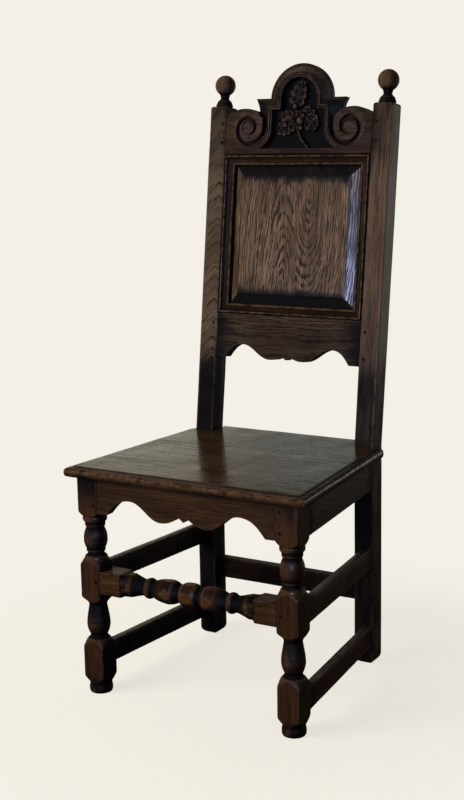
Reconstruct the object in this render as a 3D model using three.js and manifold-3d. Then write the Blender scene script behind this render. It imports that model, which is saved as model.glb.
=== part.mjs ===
// A joined oak side chair: turned front legs, raked back posts, a fielded back panel
// under a carved crest, a board seat and pegged rails and stretchers.
// Millimetres, X to the viewer's right, Y to the back, Z up, floor at Z = 0.
// While the pieces are made, Y = 0 is the front face of the front legs.
import * as THREE from 'three';
import { mergeVertices } from 'three/addons/utils/BufferGeometryUtils.js';
import Module from 'manifold-3d';

const wasm = await Module();
wasm.setup();

const yAxis = new THREE.Vector3(0, 1, 0);
const zAxis = new THREE.Vector3(0, 0, 1);

// Clearances
const fit = 0.3; // between a piece and the neighbour it enters or rests on
const overrun = 2; // how far a cutter runs past the face that it cuts
const weld = 0.0005; // vertices nearer than this are one

// Driving sizes of the frame
const seatHeight = 457;
const seatThickness = 20;
const frontWidth = 476; // across the outer faces of the front legs
const backWidth = 412; // across the outer faces of the back posts
const frameDepth = 382; // front face of the legs to front face of the posts
const legSquare = 46;
const postWidth = 41;
const postDepth = 44;
const rake = THREE.MathUtils.degToRad(7.6); // lean of the back above the seat
const postSlope = 677; // raked length of a post, from seat level to its top
const postChamfer = 5;
const footChamfer = 5;

// Seat rails and stretchers
const railThickness = 22;
const railSetback = 1; // rails lie this much behind the faces of legs and posts
const sideRailHeight = 66;
const rearRailHeight = 66;
const frontRailHeight = 69;
const stretcherSquare = 45;
const frontStretcherHeight = 229.5; // to its axis
const sideStretcherThickness = 17.5;
const sideStretcherHeight = 44;
const upperStretcherTop = 252;
const lowerStretcherTop = 86;
const rearStretcherThickness = 20;
const rearStretcherHeight = 44;
const rearStretcherTop = 173;
const rearMemberSetback = 5; // back faces of the rear members, in from the posts' backs

// Tenons and pegs
const tenonThickness = 8;
const tenonShoulder = 5; // step at a tenon's top and bottom
const frontTenonLength = 25;
const sideTenonLength = 22;
const rearTenonLength = 21;
const backTenonLength = 26;
const mortiseRelief = 1; // room past a tenon's end
const pegRadius = 3.5;
const pegProud = 0.8;
const pegBeyondTenon = 5;
const pegSides = 8;
const pegInset = 10; // centre of a peg, in from the shoulder of its joint

// Turned outlines: rows of [radius share, length share, swell share] from bottom to top.
// A radius is a share of half the square, a length a share of the stretch between blocks,
// and a swell bulges the line to the row before it, as a share of half the square.
const cornerShare = 1.46; // clears the corners of the square
const footHeight = 42;
const lowerBlockTop = 90;
const middleBlockBottom = 203;
const middleBlockTop = 258;
const topBlockHeight = 64;
const footRows = [
  [0.92, 0, 0], [0.99, 0.08, 0], [1, 0.24, 0], [0.94, 0.42, 0],
  [0.96, 0.5, 0], [1.18, 0.66, 0], [cornerShare, 1, 0.06],
];
const lowerTurningRows = [
  [cornerShare, 0, 0], [1.2, 0.1, 0.04], [0.92, 0.185, 0.03], [0.75, 0.215, 0], [0.73, 0.255, 0],
  [0.99, 0.45, 0.06], [0.95, 0.55, 0], [0.76, 0.78, 0], [0.75, 0.8, 0], [0.8, 0.81, 0],
  [0.81, 0.835, 0], [1.04, 0.885, 0], [cornerShare, 1, 0.1],
];
const upperTurningRows = [
  [cornerShare, 0, 0], [1.2, 0.075, 0.04], [0.97, 0.14, 0], [0.95, 0.17, 0], [0.7, 0.215, -0.05],
  [0.7, 0.24, 0], [0.8, 0.255, 0], [0.8, 0.29, 0], [0.78, 0.3, 0], [0.995, 0.45, 0.05],
  [0.99, 0.5, 0], [0.76, 0.66, 0.05], [0.76, 0.68, 0], [0.84, 0.695, 0], [0.86, 0.755, 0],
  [0.82, 0.765, 0], [0.98, 0.785, 0], [1.01, 0.86, 0.03], [0.97, 0.87, 0],
  [1.08, 0.885, 0], [cornerShare, 1, 0.06],
];
// Half the front stretcher, from its middle to its square block
const stretcherBlockLength = 44;
const stretcherRows = [
  [1.08, 0, 0], [1.07, 0.054, 0], [0.72, 0.142, 0.06], [0.84, 0.182, 0], [1.075, 0.311, 0.05],
  [0.99, 0.405, 0], [0.75, 0.527, 0.03], [0.7, 0.544, 0], [0.76, 0.561, 0], [0.78, 0.655, 0.13],
  [0.71, 0.689, 0], [0.71, 0.709, 0], [0.88, 0.797, 0], [1.07, 0.885, 0], [1, 0.899, 0],
  [1.07, 0.912, 0], [1.07, 0.96, 0], [1.14, 0.975, 0], [cornerShare, 1, 0.05],
];
const turnedSides = 16;
const swellSteps = 2;

// Seat board
const seatFrontOverhang = 14;
const seatSideOverhang = 20.5;
const seatRearOverhang = 6;
const seatHornLength = 8; // how far the side moulding passes the front of a post
// The moulded edge, as [inset from the nose, drop below the top]
const seatEdge = {
  underInset: 6, underDrop: 20, lipDrop: 14, noseDrop: 6.5, shoulderInset: 5, shoulderDrop: 2.6,
  quirkInset: 14, quirkDrop: 1.6, flatInset: 16,
};

// Shaped lower edges, with rises over the lowest point and places as shares of half the rail
const apron = {
  pipRise: 7.5, cuspRise: 15.5, archRise: 33,
  cuspShare: 0.052, lobeShare: 0.26, archShare: 0.62, stepShare: 0.895,
};
const backApron = {
  pipRise: 1, cuspRise: 8, archRise: 28.5,
  cuspShare: 0.055, lobeShare: 0.225, archShare: 0.63, stepShare: 0.865,
};
const lobeRoundness = 0.42;
const curveSteps = 8;

// The back, in its raked frame: slope is measured up from seat level and depth back
const backThickness = 25;
const lowerRailBottom = 158;
const lowerRailTop = 249;
const crestBottom = 577;
const mouldingWidth = 22;
const panelThickness = 15;
const panelFieldDepth = 4; // field of the panel, behind the faces of the posts
const tongueThickness = 6;
const tongueLength = 7;
const bevelWidth = 20;
const fieldStep = 1.5;
// The panel moulding, as [share of its width, depth behind the posts' faces]
const mouldingFace = [
  [0, -0.5], [0.07, -1.5], [0.18, -1.5], [0.26, 0.4], [0.42, 3.2], [0.62, 4.4],
  [0.72, 3.6], [0.84, 4.4], [0.92, 7], [1, 9],
];

// Crest, with heights measured up from its bottom edge and halves out from its middle
const crest = {
  archCentre: 114, archRadius: 69, beadRadius: 50.5, recessRadius: 41,
  earReach: 103, earBottomReach: 93.5, earBottom: 86,
  beadCorner: 98, beadHalf: 68.5, recessCorner: 91, recessHalf: 60.5,
  flareStart: 53, flareHalf: 88, recessBottom: 11.5, recessDepth: 13, coveDepth: 11,
  channelHeight: 63, channelHalf: 86, channelEnd: 42, channelEndHalf: 74,
  humpShare: 0.752, humpHeight: 93.5, postHeight: 79,
  voluteHalf: 115, voluteHeight: 55, voluteRadius: 36.5, voluteShrink: 0.47,
  voluteStart: -0.08, voluteEnd: 1.24, grooveStartWidth: 12, grooveEndWidth: 6, grooveDepth: 6,
  tenonBottom: 15, tenonTop: 73,
};
const coveRun = 0.15; // share of the cove's width by which its cutter runs past each edge
const grooveSteps = 26;

// The carved oak spray in the recess, measured as the crest is, with depths behind its face
const spray = {
  stemHalf: 2, stemDepth: 6, leafDepth: 4, leafTaper: 0.8, lobes: 3, lobeDepth: 0.24, leafSteps: 14,
  acornRadius: 5.5, acornDepth: 6, acornSides: 10,
};
// Leaves as [foot out, foot up, tip out, tip up, half width]
const leaves = [
  [-5, 84, 0, 147, 18],
  [-11, 66, -57, 47, 20],
  [0, 66, 39, 57, 21],
  [-13, 76, -42, 92, 11],
];
const acorns = [[-3, 64], [-13, 94]];
const stemPoints = [[-5, 88], [-4, 62], [-4, 42], [3, 26], [15, 17]];

// Finials, as rows of [radius, height above the post, swell]
const finial = { spigotRadius: 6, spigotLength: 24 };
const finialRows = [
  [17, 0, 0], [17.5, 3, 0.6], [17, 5, 0.3], [16.2, 5.6, 0], [15, 11, 0.8], [8.6, 18, -1.2],
  [8.4, 22, 0], [10.5, 25, 0],
];
const ballRadius = 21.3;
const ballHeight = 44.5;
const ballSteps = 8;
const spigotSides = 16;

// Sizes that follow
const legTop = seatHeight - seatThickness - fit;
const railTop = legTop;
const postBack = frameDepth + postDepth;
const openingHalf = backWidth / 2 - postWidth; // between the posts, to the middle
const legInner = frontWidth / 2 - legSquare;
const rakeSin = Math.sin(rake);
const rakeCos = Math.cos(rake);
const bendHeight = seatHeight;
const ballDepth = postDepth / 2;
const upright = new THREE.Matrix4();
const leaning = new THREE.Matrix4().makeRotationX(-rake).setPosition(0, frameDepth, bendHeight);
const backReach = frameDepth + (postSlope + ballHeight) * rakeSin + ballDepth * rakeCos + ballRadius;
const topBlockBottom = legTop - topBlockHeight;
const middleDepth = (backReach - seatFrontOverhang) / 2;

// Materials
const darkOak = new THREE.MeshStandardMaterial({ color: 0x3a271c, roughness: 0.5, metalness: 0 });
const postOak = new THREE.MeshStandardMaterial({ color: 0x4a3a2c, roughness: 0.55, metalness: 0 });
const panelOak = new THREE.MeshStandardMaterial({ color: 0x6a5238, roughness: 0.55, metalness: 0 });
const seatOak = new THREE.MeshStandardMaterial({ color: 0x3d3028, roughness: 0.4, metalness: 0 });
const pegOak = new THREE.MeshStandardMaterial({ color: 0x1e1510, roughness: 0.7, metalness: 0 });

// Solids from three.js geometry, stood in the given frame, and back
function solidOf(geometry, frame = upright) {
  const bare = geometry.clone().applyMatrix4(frame);
  bare.deleteAttribute('normal');
  bare.deleteAttribute('uv');
  const merged = mergeVertices(bare, weld);
  const kept = [];
  for (let i = 0; i < merged.index.count; i += 3) {
    const corners = [0, 1, 2].map((k) => merged.index.getX(i + k));
    if (new Set(corners).size === corners.length) kept.push(...corners);
  }
  const mesh = new wasm.Mesh({
    numProp: 3,
    vertProperties: Float32Array.from(merged.attributes.position.array),
    triVerts: Uint32Array.from(kept),
  });
  return new wasm.Manifold(mesh);
}

function geometryOf(solid) {
  const mesh = solid.getMesh();
  const geometry = new THREE.BufferGeometry();
  geometry.setAttribute('position', new THREE.BufferAttribute(Float32Array.from(mesh.vertProperties), 3));
  geometry.setIndex(Array.from(mesh.triVerts));
  geometry.computeVertexNormals();
  return geometry;
}

function joined(first, others) {
  return others.reduce((sum, other) => sum.add(other), first);
}

function cutBy(first, cutters) {
  return cutters.reduce((rest, cutter) => rest.subtract(cutter), first);
}

// A box from its low and high corner
function box(low, high, frame = upright) {
  const size = high.map((value, axis) => value - low[axis]);
  const geometry = new THREE.BoxGeometry(...size);
  geometry.translate(...low.map((value, axis) => value + size[axis] / 2));
  return solidOf(geometry, frame);
}

// An outline given across and up, drawn out along one axis
function plateAlongY(outline, front, back) {
  const geometry = new THREE.ExtrudeGeometry(outline, { depth: back - front, bevelEnabled: false });
  geometry.rotateX(Math.PI / 2);
  geometry.translate(0, back, 0);
  return solidOf(geometry);
}

function plateAlongZ(outline, low, high) {
  const geometry = new THREE.ExtrudeGeometry(outline, { depth: high - low, bevelEnabled: false });
  geometry.translate(0, 0, low);
  return solidOf(geometry);
}

function shapeOf(points) {
  return new THREE.Shape(points.map(([across, up]) => new THREE.Vector2(across, up)));
}

// Triangles that close a flat ring, turning the way the ring turns
function capFaces(ring) {
  const corners = ring.map((point) => new THREE.Vector3(...point));
  const normal = new THREE.Vector3();
  corners.forEach((corner, i) => {
    normal.add(corner.clone().cross(corners[(i + 1) % corners.length]));
  });
  const turn = new THREE.Quaternion().setFromUnitVectors(normal.normalize(), zAxis);
  const flat = corners.map((corner) => {
    const { x, y } = corner.applyQuaternion(turn);
    return new THREE.Vector2(x, y);
  });
  return THREE.ShapeUtils.triangulateShape(flat, []);
}

// A closed body through flat rings of equal point counts, listed from one end to the other,
// each turning anticlockwise as seen from the last
function lofted(rings, frame = upright) {
  const count = rings[0].length;
  const indices = [];
  for (let ring = 0; ring + 1 < rings.length; ring += 1) {
    for (let i = 0; i < count; i += 1) {
      const a = ring * count + i;
      const b = ring * count + (i + 1) % count;
      indices.push(a, b, b + count, a, b + count, a + count);
    }
  }
  const last = (rings.length - 1) * count;
  capFaces(rings[0]).forEach(([a, b, c]) => indices.push(a, c, b));
  capFaces(rings[rings.length - 1]).forEach(([a, b, c]) => indices.push(last + a, last + b, last + c));
  const geometry = new THREE.BufferGeometry();
  geometry.setAttribute('position', new THREE.Float32BufferAttribute(rings.flat(2), 3));
  geometry.setIndex(indices);
  return solidOf(geometry, frame);
}

// A body turned from [radius, height, swell] rows about an upright line
function turned(rows, sides, at = [0, 0], frame = upright) {
  const points = [new THREE.Vector2(0, rows[0][1])];
  rows.forEach(([radius, height, swell], i) => {
    const [fromRadius, fromHeight] = i > 0 ? rows[i - 1] : [radius, height];
    const steps = swell === 0 ? 1 : swellSteps;
    for (let step = 1; step <= steps; step += 1) {
      const share = step / steps;
      const bulge = swell * 4 * share * (1 - share);
      const here = fromRadius + (radius - fromRadius) * share + bulge;
      points.push(new THREE.Vector2(here, fromHeight + (height - fromHeight) * share));
    }
  });
  points.push(new THREE.Vector2(0, rows[rows.length - 1][1]));
  const geometry = new THREE.LatheGeometry(points, sides);
  geometry.rotateX(Math.PI / 2);
  geometry.translate(...at, 0);
  return solidOf(geometry, frame);
}

function scaledRows(rows, unit, start, length) {
  return rows.map(([radius, height, swell]) => [radius * unit, start + height * length, swell * unit]);
}

// Pegs: where each one goes and which way it points, then the peg and its hole
const pegs = [];

function pegBody(spot, radius, slack) {
  const length = spot.length + slack + (slack > 0 ? overrun : pegProud);
  const geometry = new THREE.CylinderGeometry(radius, radius, length, pegSides);
  const out = new THREE.Vector3(...spot.out);
  geometry.applyQuaternion(new THREE.Quaternion().setFromUnitVectors(yAxis, out));
  const reach = (slack > 0 ? overrun : pegProud) - length / 2;
  const centre = new THREE.Vector3(...spot.at).addScaledVector(out, reach);
  geometry.translate(centre.x, centre.y, centre.z);
  return geometry;
}

// A spot is the point on the outer face, the way out of the wood, and the peg's length in it.
// The hole comes back as it stands in the piece's own frame and in the frame of the posts.
function addPeg(name, at, out, length, inBack) {
  const spot = { name, at, out, length, inBack };
  pegs.push(spot);
  const geometry = pegBody(spot, pegRadius + fit, fit);
  return { inPlace: solidOf(geometry), inPost: solidOf(geometry, inBack ? leaning : upright) };
}

// A tenon box and its mortise, each from low and high corners, grown by the fit
function mortise(low, high, end, frame = upright) {
  const from = low.map((value) => value - fit);
  const to = high.map((value) => value + fit);
  if (end > 0) to[0] += mortiseRelief;
  if (end < 0) from[0] -= mortiseRelief;
  return box(from, to, frame);
}

// Mirrored copies for the left, where side is -1
function mirroredBox(side, low, high) {
  if (side > 0) return [low, high];
  return [[-high[0], low[1], low[2]], [-low[0], high[1], high[2]]];
}

// Side members run from a front leg to a post, narrowing towards the back
function sideFace(y) {
  const share = (y - legSquare) / (frameDepth - legSquare);
  return frontWidth / 2 - railSetback + share * (backWidth - frontWidth) / 2;
}

function sideOutline(side, from, to, outset, thickness) {
  const outer = (y) => side * (sideFace(y) - outset);
  const inner = (y) => side * (sideFace(y) - outset - thickness);
  return shapeOf([[outer(from), from], [outer(to), to], [inner(to), to], [inner(from), from]]);
}

function sideTenonPlate(side, thickness, low, high, slack) {
  const outset = (thickness - tenonThickness) / 2 - slack;
  const from = legSquare - sideTenonLength - (slack > 0 ? mortiseRelief : 0);
  const to = frameDepth + sideTenonLength + (slack > 0 ? mortiseRelief : 0);
  const outline = sideOutline(side, from, to, outset, tenonThickness + 2 * slack);
  return plateAlongZ(outline, low + tenonShoulder - slack, high - tenonShoulder + slack);
}

// The side members, top to bottom, with the height of each one's peg
const sideMembers = [
  { name: 'side_seat_rail', thickness: railThickness, low: railTop - sideRailHeight, high: railTop },
  {
    name: 'side_stretcher_upper',
    thickness: sideStretcherThickness,
    low: upperStretcherTop - sideStretcherHeight,
    high: upperStretcherTop,
  },
  {
    name: 'side_stretcher_lower',
    thickness: sideStretcherThickness,
    low: lowerStretcherTop - sideStretcherHeight,
    high: lowerStretcherTop,
  },
];

// Rear members, between the posts under the seat
const rearMembers = [
  { name: 'rear_seat_rail', thickness: railThickness, low: railTop - rearRailHeight, high: railTop },
  {
    name: 'rear_stretcher',
    thickness: rearStretcherThickness,
    low: rearStretcherTop - rearStretcherHeight,
    high: rearStretcherTop,
  },
];

function rearTenon(member) {
  const middle = postBack - rearMemberSetback - member.thickness / 2;
  return {
    front: middle - tenonThickness / 2,
    back: middle + tenonThickness / 2,
    low: member.low + tenonShoulder,
    high: member.high - tenonShoulder,
  };
}

// Front rail and front stretcher tenons, on the right
const frontRailTenon = {
  front: railSetback + (railThickness - tenonThickness) / 2,
  back: railSetback + (railThickness + tenonThickness) / 2,
  low: railTop - frontRailHeight + tenonShoulder,
  high: railTop - tenonShoulder,
};
const frontStretcherTenon = {
  front: (legSquare - tenonThickness) / 2,
  back: (legSquare + tenonThickness) / 2,
  low: frontStretcherHeight - stretcherSquare / 2 + tenonShoulder + fit,
  high: frontStretcherHeight + stretcherSquare / 2 - tenonShoulder - fit,
};

function tenonBox(side, tenon, shoulder, length) {
  const low = [shoulder - overrun, tenon.front, tenon.low];
  const high = [shoulder + length, tenon.back, tenon.high];
  return box(...mirroredBox(side, low, high));
}

function tenonMortise(side, tenon, shoulder, length) {
  const low = [shoulder - overrun, tenon.front, tenon.low];
  const high = [shoulder + length, tenon.back, tenon.high];
  return mortise(...mirroredBox(side, low, high), side);
}

const sides = [['left', -1], ['right', 1]];
const holes = {};

// Every peg hole is kept under the names of the member and the upright that it passes through
function pegThrough([member, support], name, at, out, length, inBack = false) {
  const { inPlace, inPost } = addPeg(name, at, out, length, inBack);
  holes[member] = [...(holes[member] ?? []), inPlace];
  holes[support] = [...(holes[support] ?? []), inPost];
}

function placePegs() {
  const front = [0, -1, 0];
  const rear = [0, 1, 0];
  sides.forEach(([hand, side]) => {
    const outward = [side, 0, 0];
    const frontX = side * (legInner + pegInset);
    const railPegs = [['lower', frontRailTenon.low + pegInset], ['upper', frontRailTenon.high - pegInset]];
    railPegs.forEach(([place, height]) => {
      const length = frontRailTenon.back + pegBeyondTenon;
      const name = `peg_front_rail_${hand}_${place}`;
      pegThrough(['front_seat_rail', `front_leg_${hand}`], name, [frontX, 0, height], front, length);
    });
    pegThrough(
      ['front_stretcher', `front_leg_${hand}`],
      `peg_front_stretcher_${hand}`,
      [frontX, 0, frontStretcherHeight],
      front,
      frontStretcherTenon.back + pegBeyondTenon,
    );
    sideMembers.forEach((member) => {
      const height = (member.low + member.high) / 2;
      const depth = railSetback + (member.thickness + tenonThickness) / 2 + pegBeyondTenon / 2;
      const legSpot = [side * frontWidth / 2, legSquare - pegInset, height];
      const postSpot = [side * backWidth / 2, frameDepth + pegInset, height];
      const piece = `${member.name}_${hand}`;
      pegThrough([piece, `front_leg_${hand}`], `peg_${piece}_front`, legSpot, outward, depth);
      pegThrough([piece, `rear_post_${hand}`], `peg_${piece}_rear`, postSpot, outward, depth);
    });
    rearMembers.forEach((member) => {
      const height = (member.low + member.high) / 2;
      const depth = postBack - rearTenon(member).front + pegBeyondTenon / 2;
      const spot = [side * (openingHalf + pegInset), postBack, height];
      pegThrough([member.name, `rear_post_${hand}`], `peg_${member.name}_${hand}`, spot, rear, depth);
    });
    backTenons.forEach(({ name, low, high }) => {
      const backPegs = [['lower', low + pegInset], ['upper', high - pegInset]];
      backPegs.forEach(([place, slope]) => {
        const spot = [side * (openingHalf + pegInset), 0, slope];
        const length = backTenonDepth + tenonThickness + pegBeyondTenon;
        const pieces = [name, `rear_post_${hand}`];
        pegThrough(pieces, `peg_${name}_${hand}_${place}`, spot, front, length, true);
      });
    });
  });
}

// Tenons of the crest and the lower back rail, in the raked frame
const backTenonDepth = (backThickness - tenonThickness) / 2;
const backTenons = [
  { name: 'lower_back_rail', low: lowerRailBottom + tenonShoulder, high: lowerRailTop - tongueLength - tenonShoulder },
  { name: 'crest_rail', low: crestBottom + crest.tenonBottom, high: crestBottom + crest.tenonTop },
];

function backTenonBox(side, tenon) {
  const low = [openingHalf - overrun, backTenonDepth, tenon.low];
  const high = [openingHalf + backTenonLength, backTenonDepth + tenonThickness, tenon.high];
  return mirroredBox(side, low, high);
}

// Grooves that hold the panel's tongue, in the raked frame
const tongueFront = panelFieldDepth + panelThickness - tongueThickness;
const tongueBack = tongueFront + tongueThickness;
const grooveHalf = openingHalf + tongueLength + fit;
const grooveLow = lowerRailTop - tongueLength - fit;
const grooveHigh = crestBottom + tongueLength + fit;

function panelGroove(frame = upright) {
  const low = [-grooveHalf, tongueFront - fit, grooveLow];
  return box(low, [grooveHalf, tongueBack + fit, grooveHigh], frame);
}

placePegs();

function frontLeg(hand, side) {
  const half = legSquare / 2;
  const rows = [
    ...scaledRows(footRows, half, 0, footHeight),
    ...scaledRows(lowerTurningRows, half, lowerBlockTop, middleBlockBottom - lowerBlockTop),
    ...scaledRows(upperTurningRows, half, middleBlockTop, topBlockBottom - middleBlockTop),
    [cornerShare * half, legTop, 0],
  ];
  const middle = side * (frontWidth / 2 - half);
  const square = box([middle - half, 0, 0], [middle + half, legSquare, legTop]);
  const leg = turned(rows, turnedSides, [middle, half]).intersect(square);
  const mortises = [
    tenonMortise(side, frontRailTenon, legInner, frontTenonLength),
    tenonMortise(side, frontStretcherTenon, legInner, frontTenonLength),
    ...sideMembers.map(({ thickness, low, high }) => sideTenonPlate(side, thickness, low, high, fit)),
  ];
  return cutBy(leg, [...mortises, ...holes[`front_leg_${hand}`]]);
}

// A post stands upright to the seat and leans back above it, with chamfered ends
function rearPost(hand, side) {
  const left = Math.min(side * backWidth / 2, side * openingHalf);
  const right = left + postWidth;
  const square = (inset, front, height) => [
    [left + inset, front + inset, height], [right - inset, front + inset, height],
    [right - inset, front + postDepth - inset, height], [left + inset, front + postDepth - inset, height],
  ];
  const leant = (inset, slope) => square(inset, 0, slope).map(
    (corner) => new THREE.Vector3(...corner).applyMatrix4(leaning).toArray(),
  );
  const bendDrop = postDepth * Math.tan(rake / 2);
  const bend = square(0, frameDepth, bendHeight).map(
    ([x, y, z]) => [x, y, y > frameDepth ? z - bendDrop : z],
  );
  const blank = lofted([
    square(footChamfer, frameDepth, 0), square(0, frameDepth, footChamfer), bend,
    leant(0, postSlope - postChamfer), leant(postChamfer, postSlope),
  ]);
  const cutters = [
    ...sideMembers.map(({ thickness, low, high }) => sideTenonPlate(side, thickness, low, high, fit)),
    ...rearMembers.map((member) => tenonMortise(side, rearTenon(member), openingHalf, rearTenonLength)),
    ...backTenons.map((tenon) => mortise(...backTenonBox(side, tenon), side, leaning)),
    panelGroove(leaning),
    spigot(side, fit, leaning),
    ...holes[`rear_post_${hand}`],
  ];
  return cutBy(blank, cutters);
}

function spigot(side, slack, frame = upright) {
  const { spigotRadius, spigotLength } = finial;
  const radius = spigotRadius + slack;
  const rows = [[radius, postSlope - spigotLength - slack, 0], [radius, postSlope + fit + overrun, 0]];
  return turned(rows, spigotSides, [side * (openingHalf + postWidth / 2), ballDepth], frame);
}

function finialBody(side) {
  const bell = finialRows.map(([radius, height, swell]) => [radius, postSlope + fit + height, swell]);
  const startAngle = Math.asin((ballHeight - finialRows[finialRows.length - 1][1]) / ballRadius);
  const ball = Array.from({ length: ballSteps }, (unused, i) => {
    const angle = -startAngle + (startAngle + Math.PI / 2) * (i + 1) / ballSteps;
    return [ballRadius * Math.cos(angle), postSlope + ballHeight + ballRadius * Math.sin(angle), 0];
  });
  const body = turned([...bell, ...ball], turnedSides, [side * (openingHalf + postWidth / 2), ballDepth]);
  return body.add(spigot(side, 0));
}

// A lower edge with a middle pip, two lobes, two arches and flat ends, mirrored
function shapedEdge(sizes, bottom, endHalf, top) {
  const pip = bottom + sizes.pipRise;
  const cusp = bottom + sizes.cuspRise;
  const arch = bottom + sizes.archRise;
  const cuspHalf = endHalf * sizes.cuspShare;
  const lobeHalf = endHalf * sizes.lobeShare;
  const archHalf = endHalf * sizes.archShare;
  const stepHalf = endHalf * sizes.stepShare;
  const right = new THREE.Path();
  right.moveTo(0, pip);
  right.lineTo(cuspHalf, cusp);
  right.quadraticCurveTo((cuspHalf + lobeHalf) / 2, bottom, lobeHalf, bottom);
  const lobeReach = (archHalf - lobeHalf) * lobeRoundness;
  right.bezierCurveTo(lobeHalf + lobeReach, bottom, archHalf - lobeReach, arch, archHalf, arch);
  const stepReach = (stepHalf - archHalf) / 2;
  right.bezierCurveTo(
    archHalf + stepReach, arch, stepHalf - stepReach / 2, (bottom + arch) / 2, stepHalf, bottom,
  );
  right.lineTo(endHalf, bottom);
  const half = right.getPoints(curveSteps);
  const mirrored = half.slice(1).reverse().map((point) => new THREE.Vector2(-point.x, point.y));
  return new THREE.Shape([
    ...mirrored, ...half, new THREE.Vector2(endHalf, top), new THREE.Vector2(-endHalf, top),
  ]);
}

function frontSeatRail() {
  const bottom = railTop - frontRailHeight;
  const outline = shapedEdge(apron, bottom, legInner - fit, railTop);
  const board = plateAlongY(outline, railSetback, railSetback + railThickness);
  const tenons = sides.map(([, side]) => tenonBox(side, frontRailTenon, legInner, frontTenonLength));
  return cutBy(joined(board, tenons), holes.front_seat_rail);
}

function sideMember(member, hand, side) {
  const { name, thickness, low, high } = member;
  const outline = sideOutline(side, legSquare + fit, frameDepth - fit, 0, thickness);
  const bar = plateAlongZ(outline, low, high).add(sideTenonPlate(side, thickness, low, high, 0));
  return cutBy(bar, holes[`${name}_${hand}`]);
}

function rearMember(member) {
  const back = postBack - rearMemberSetback;
  const reach = openingHalf - fit;
  const bar = box([-reach, back - member.thickness, member.low], [reach, back, member.high]);
  const tenons = sides.map(([, side]) => tenonBox(side, rearTenon(member), openingHalf, rearTenonLength));
  return cutBy(joined(bar, tenons), holes[member.name]);
}

function frontStretcher() {
  const half = stretcherSquare / 2;
  const reach = legInner - fit;
  const arm = scaledRows(stretcherRows, half, 0, legInner - stretcherBlockLength);
  const mirrored = arm.slice(1).reverse().map(([radius, height]) => [radius, -height]);
  const swells = arm.slice(1).reverse().map(([, , swell]) => swell);
  const left = mirrored.map(([radius, height], i) => [radius, height, i > 0 ? swells[i - 1] : 0]);
  const [middleRadius, middleHeight] = arm[0];
  const middle = [middleRadius, middleHeight, swells[swells.length - 1]];
  const corner = cornerShare * half;
  const rows = [[corner, -reach, 0], ...left, middle, ...arm.slice(1), [corner, reach, 0]];
  const lying = new THREE.Matrix4().makeRotationY(Math.PI / 2);
  lying.setPosition(0, legSquare / 2, frontStretcherHeight);
  const square = box([-half, -half, -reach], [half, half, reach], lying);
  const bar = turned(rows, turnedSides, [0, 0], lying).intersect(square);
  const tenons = sides.map(([, side]) => tenonBox(side, frontStretcherTenon, legInner, frontTenonLength));
  return cutBy(joined(bar, tenons), holes.front_stretcher);
}

function seatBoard() {
  const e = seatEdge;
  const back = postBack + seatRearOverhang;
  const slant = (frontWidth - backWidth) / 2 / frameDepth;
  const ring = (inset, drop) => {
    const front = inset - seatFrontOverhang;
    const sideAt = (y) => frontWidth / 2 + seatSideOverhang - inset - slant * y;
    const z = seatHeight - drop;
    return [
      [-sideAt(front), front, z], [sideAt(front), front, z], [sideAt(back), back, z], [-sideAt(back), back, z],
    ];
  };
  const board = lofted([
    ring(e.underInset, e.underDrop), ring(0, e.lipDrop), ring(0, e.noseDrop),
    ring(e.shoulderInset, e.shoulderDrop), ring(e.quirkInset, e.quirkDrop), ring(e.flatInset, 0),
  ]);
  const low = seatHeight - seatThickness - overrun;
  const high = seatHeight + overrun;
  const notches = sides.flatMap(([, side]) => [
    box(...mirroredBox(
      side,
      [openingHalf - fit, frameDepth - fit, low],
      [backWidth / 2 + fit, back + overrun, high],
    )),
    box(...mirroredBox(
      side,
      [openingHalf - fit, frameDepth + seatHornLength, low],
      [frontWidth, back + overrun, high],
    )),
  ]);
  return cutBy(board, notches);
}

function lowerBackRail() {
  const outline = shapedEdge(backApron, lowerRailBottom, openingHalf - fit, lowerRailTop);
  const board = plateAlongY(outline, 0, backThickness);
  const tenons = sides.map(([, side]) => box(...backTenonBox(side, backTenons[0])));
  return cutBy(joined(board, tenons), [panelGroove(), ...holes.lower_back_rail]);
}

function backPanel() {
  const reach = tongueLength;
  const ring = (inset, depth) => {
    const half = openingHalf + reach - inset;
    const low = lowerRailTop - reach + inset;
    const high = crestBottom + reach - inset;
    return [[-half, depth, low], [-half, depth, high], [half, depth, high], [half, depth, low]];
  };
  const bevelStart = reach + mouldingWidth;
  const fieldStart = bevelStart + bevelWidth;
  return lofted([
    ring(fieldStart, panelFieldDepth), ring(fieldStart, panelFieldDepth + fieldStep),
    ring(bevelStart, tongueFront), ring(0, tongueFront), ring(0, tongueBack),
  ]);
}

// A mitred strip of the panel moulding: place maps [along, across, depth] into the frame
function mouldingStrip(start, end, place) {
  const seat = tongueFront - fit;
  const face = mouldingFace.map(([share, depth]) => [fit + share * (mouldingWidth - fit), depth]);
  const profile = [[fit, seat], [mouldingWidth, seat], ...face.reverse()];
  const mitreGap = fit * Math.SQRT1_2;
  return lofted([
    profile.map(([across, depth]) => place(start + across + mitreGap, across, depth)),
    profile.map(([across, depth]) => place(end - across - mitreGap, across, depth)),
  ]);
}

const strips = {
  panel_moulding_bottom: [
    -openingHalf, openingHalf, (along, across, depth) => [along, depth, lowerRailTop + across],
  ],
  panel_moulding_top: [
    -openingHalf, openingHalf, (along, across, depth) => [-along, depth, crestBottom - across],
  ],
  panel_moulding_left: [
    -crestBottom, -lowerRailTop, (along, across, depth) => [across - openingHalf, depth, -along],
  ],
  panel_moulding_right: [
    lowerRailTop, crestBottom, (along, across, depth) => [openingHalf - across, depth, along],
  ],
};

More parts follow.
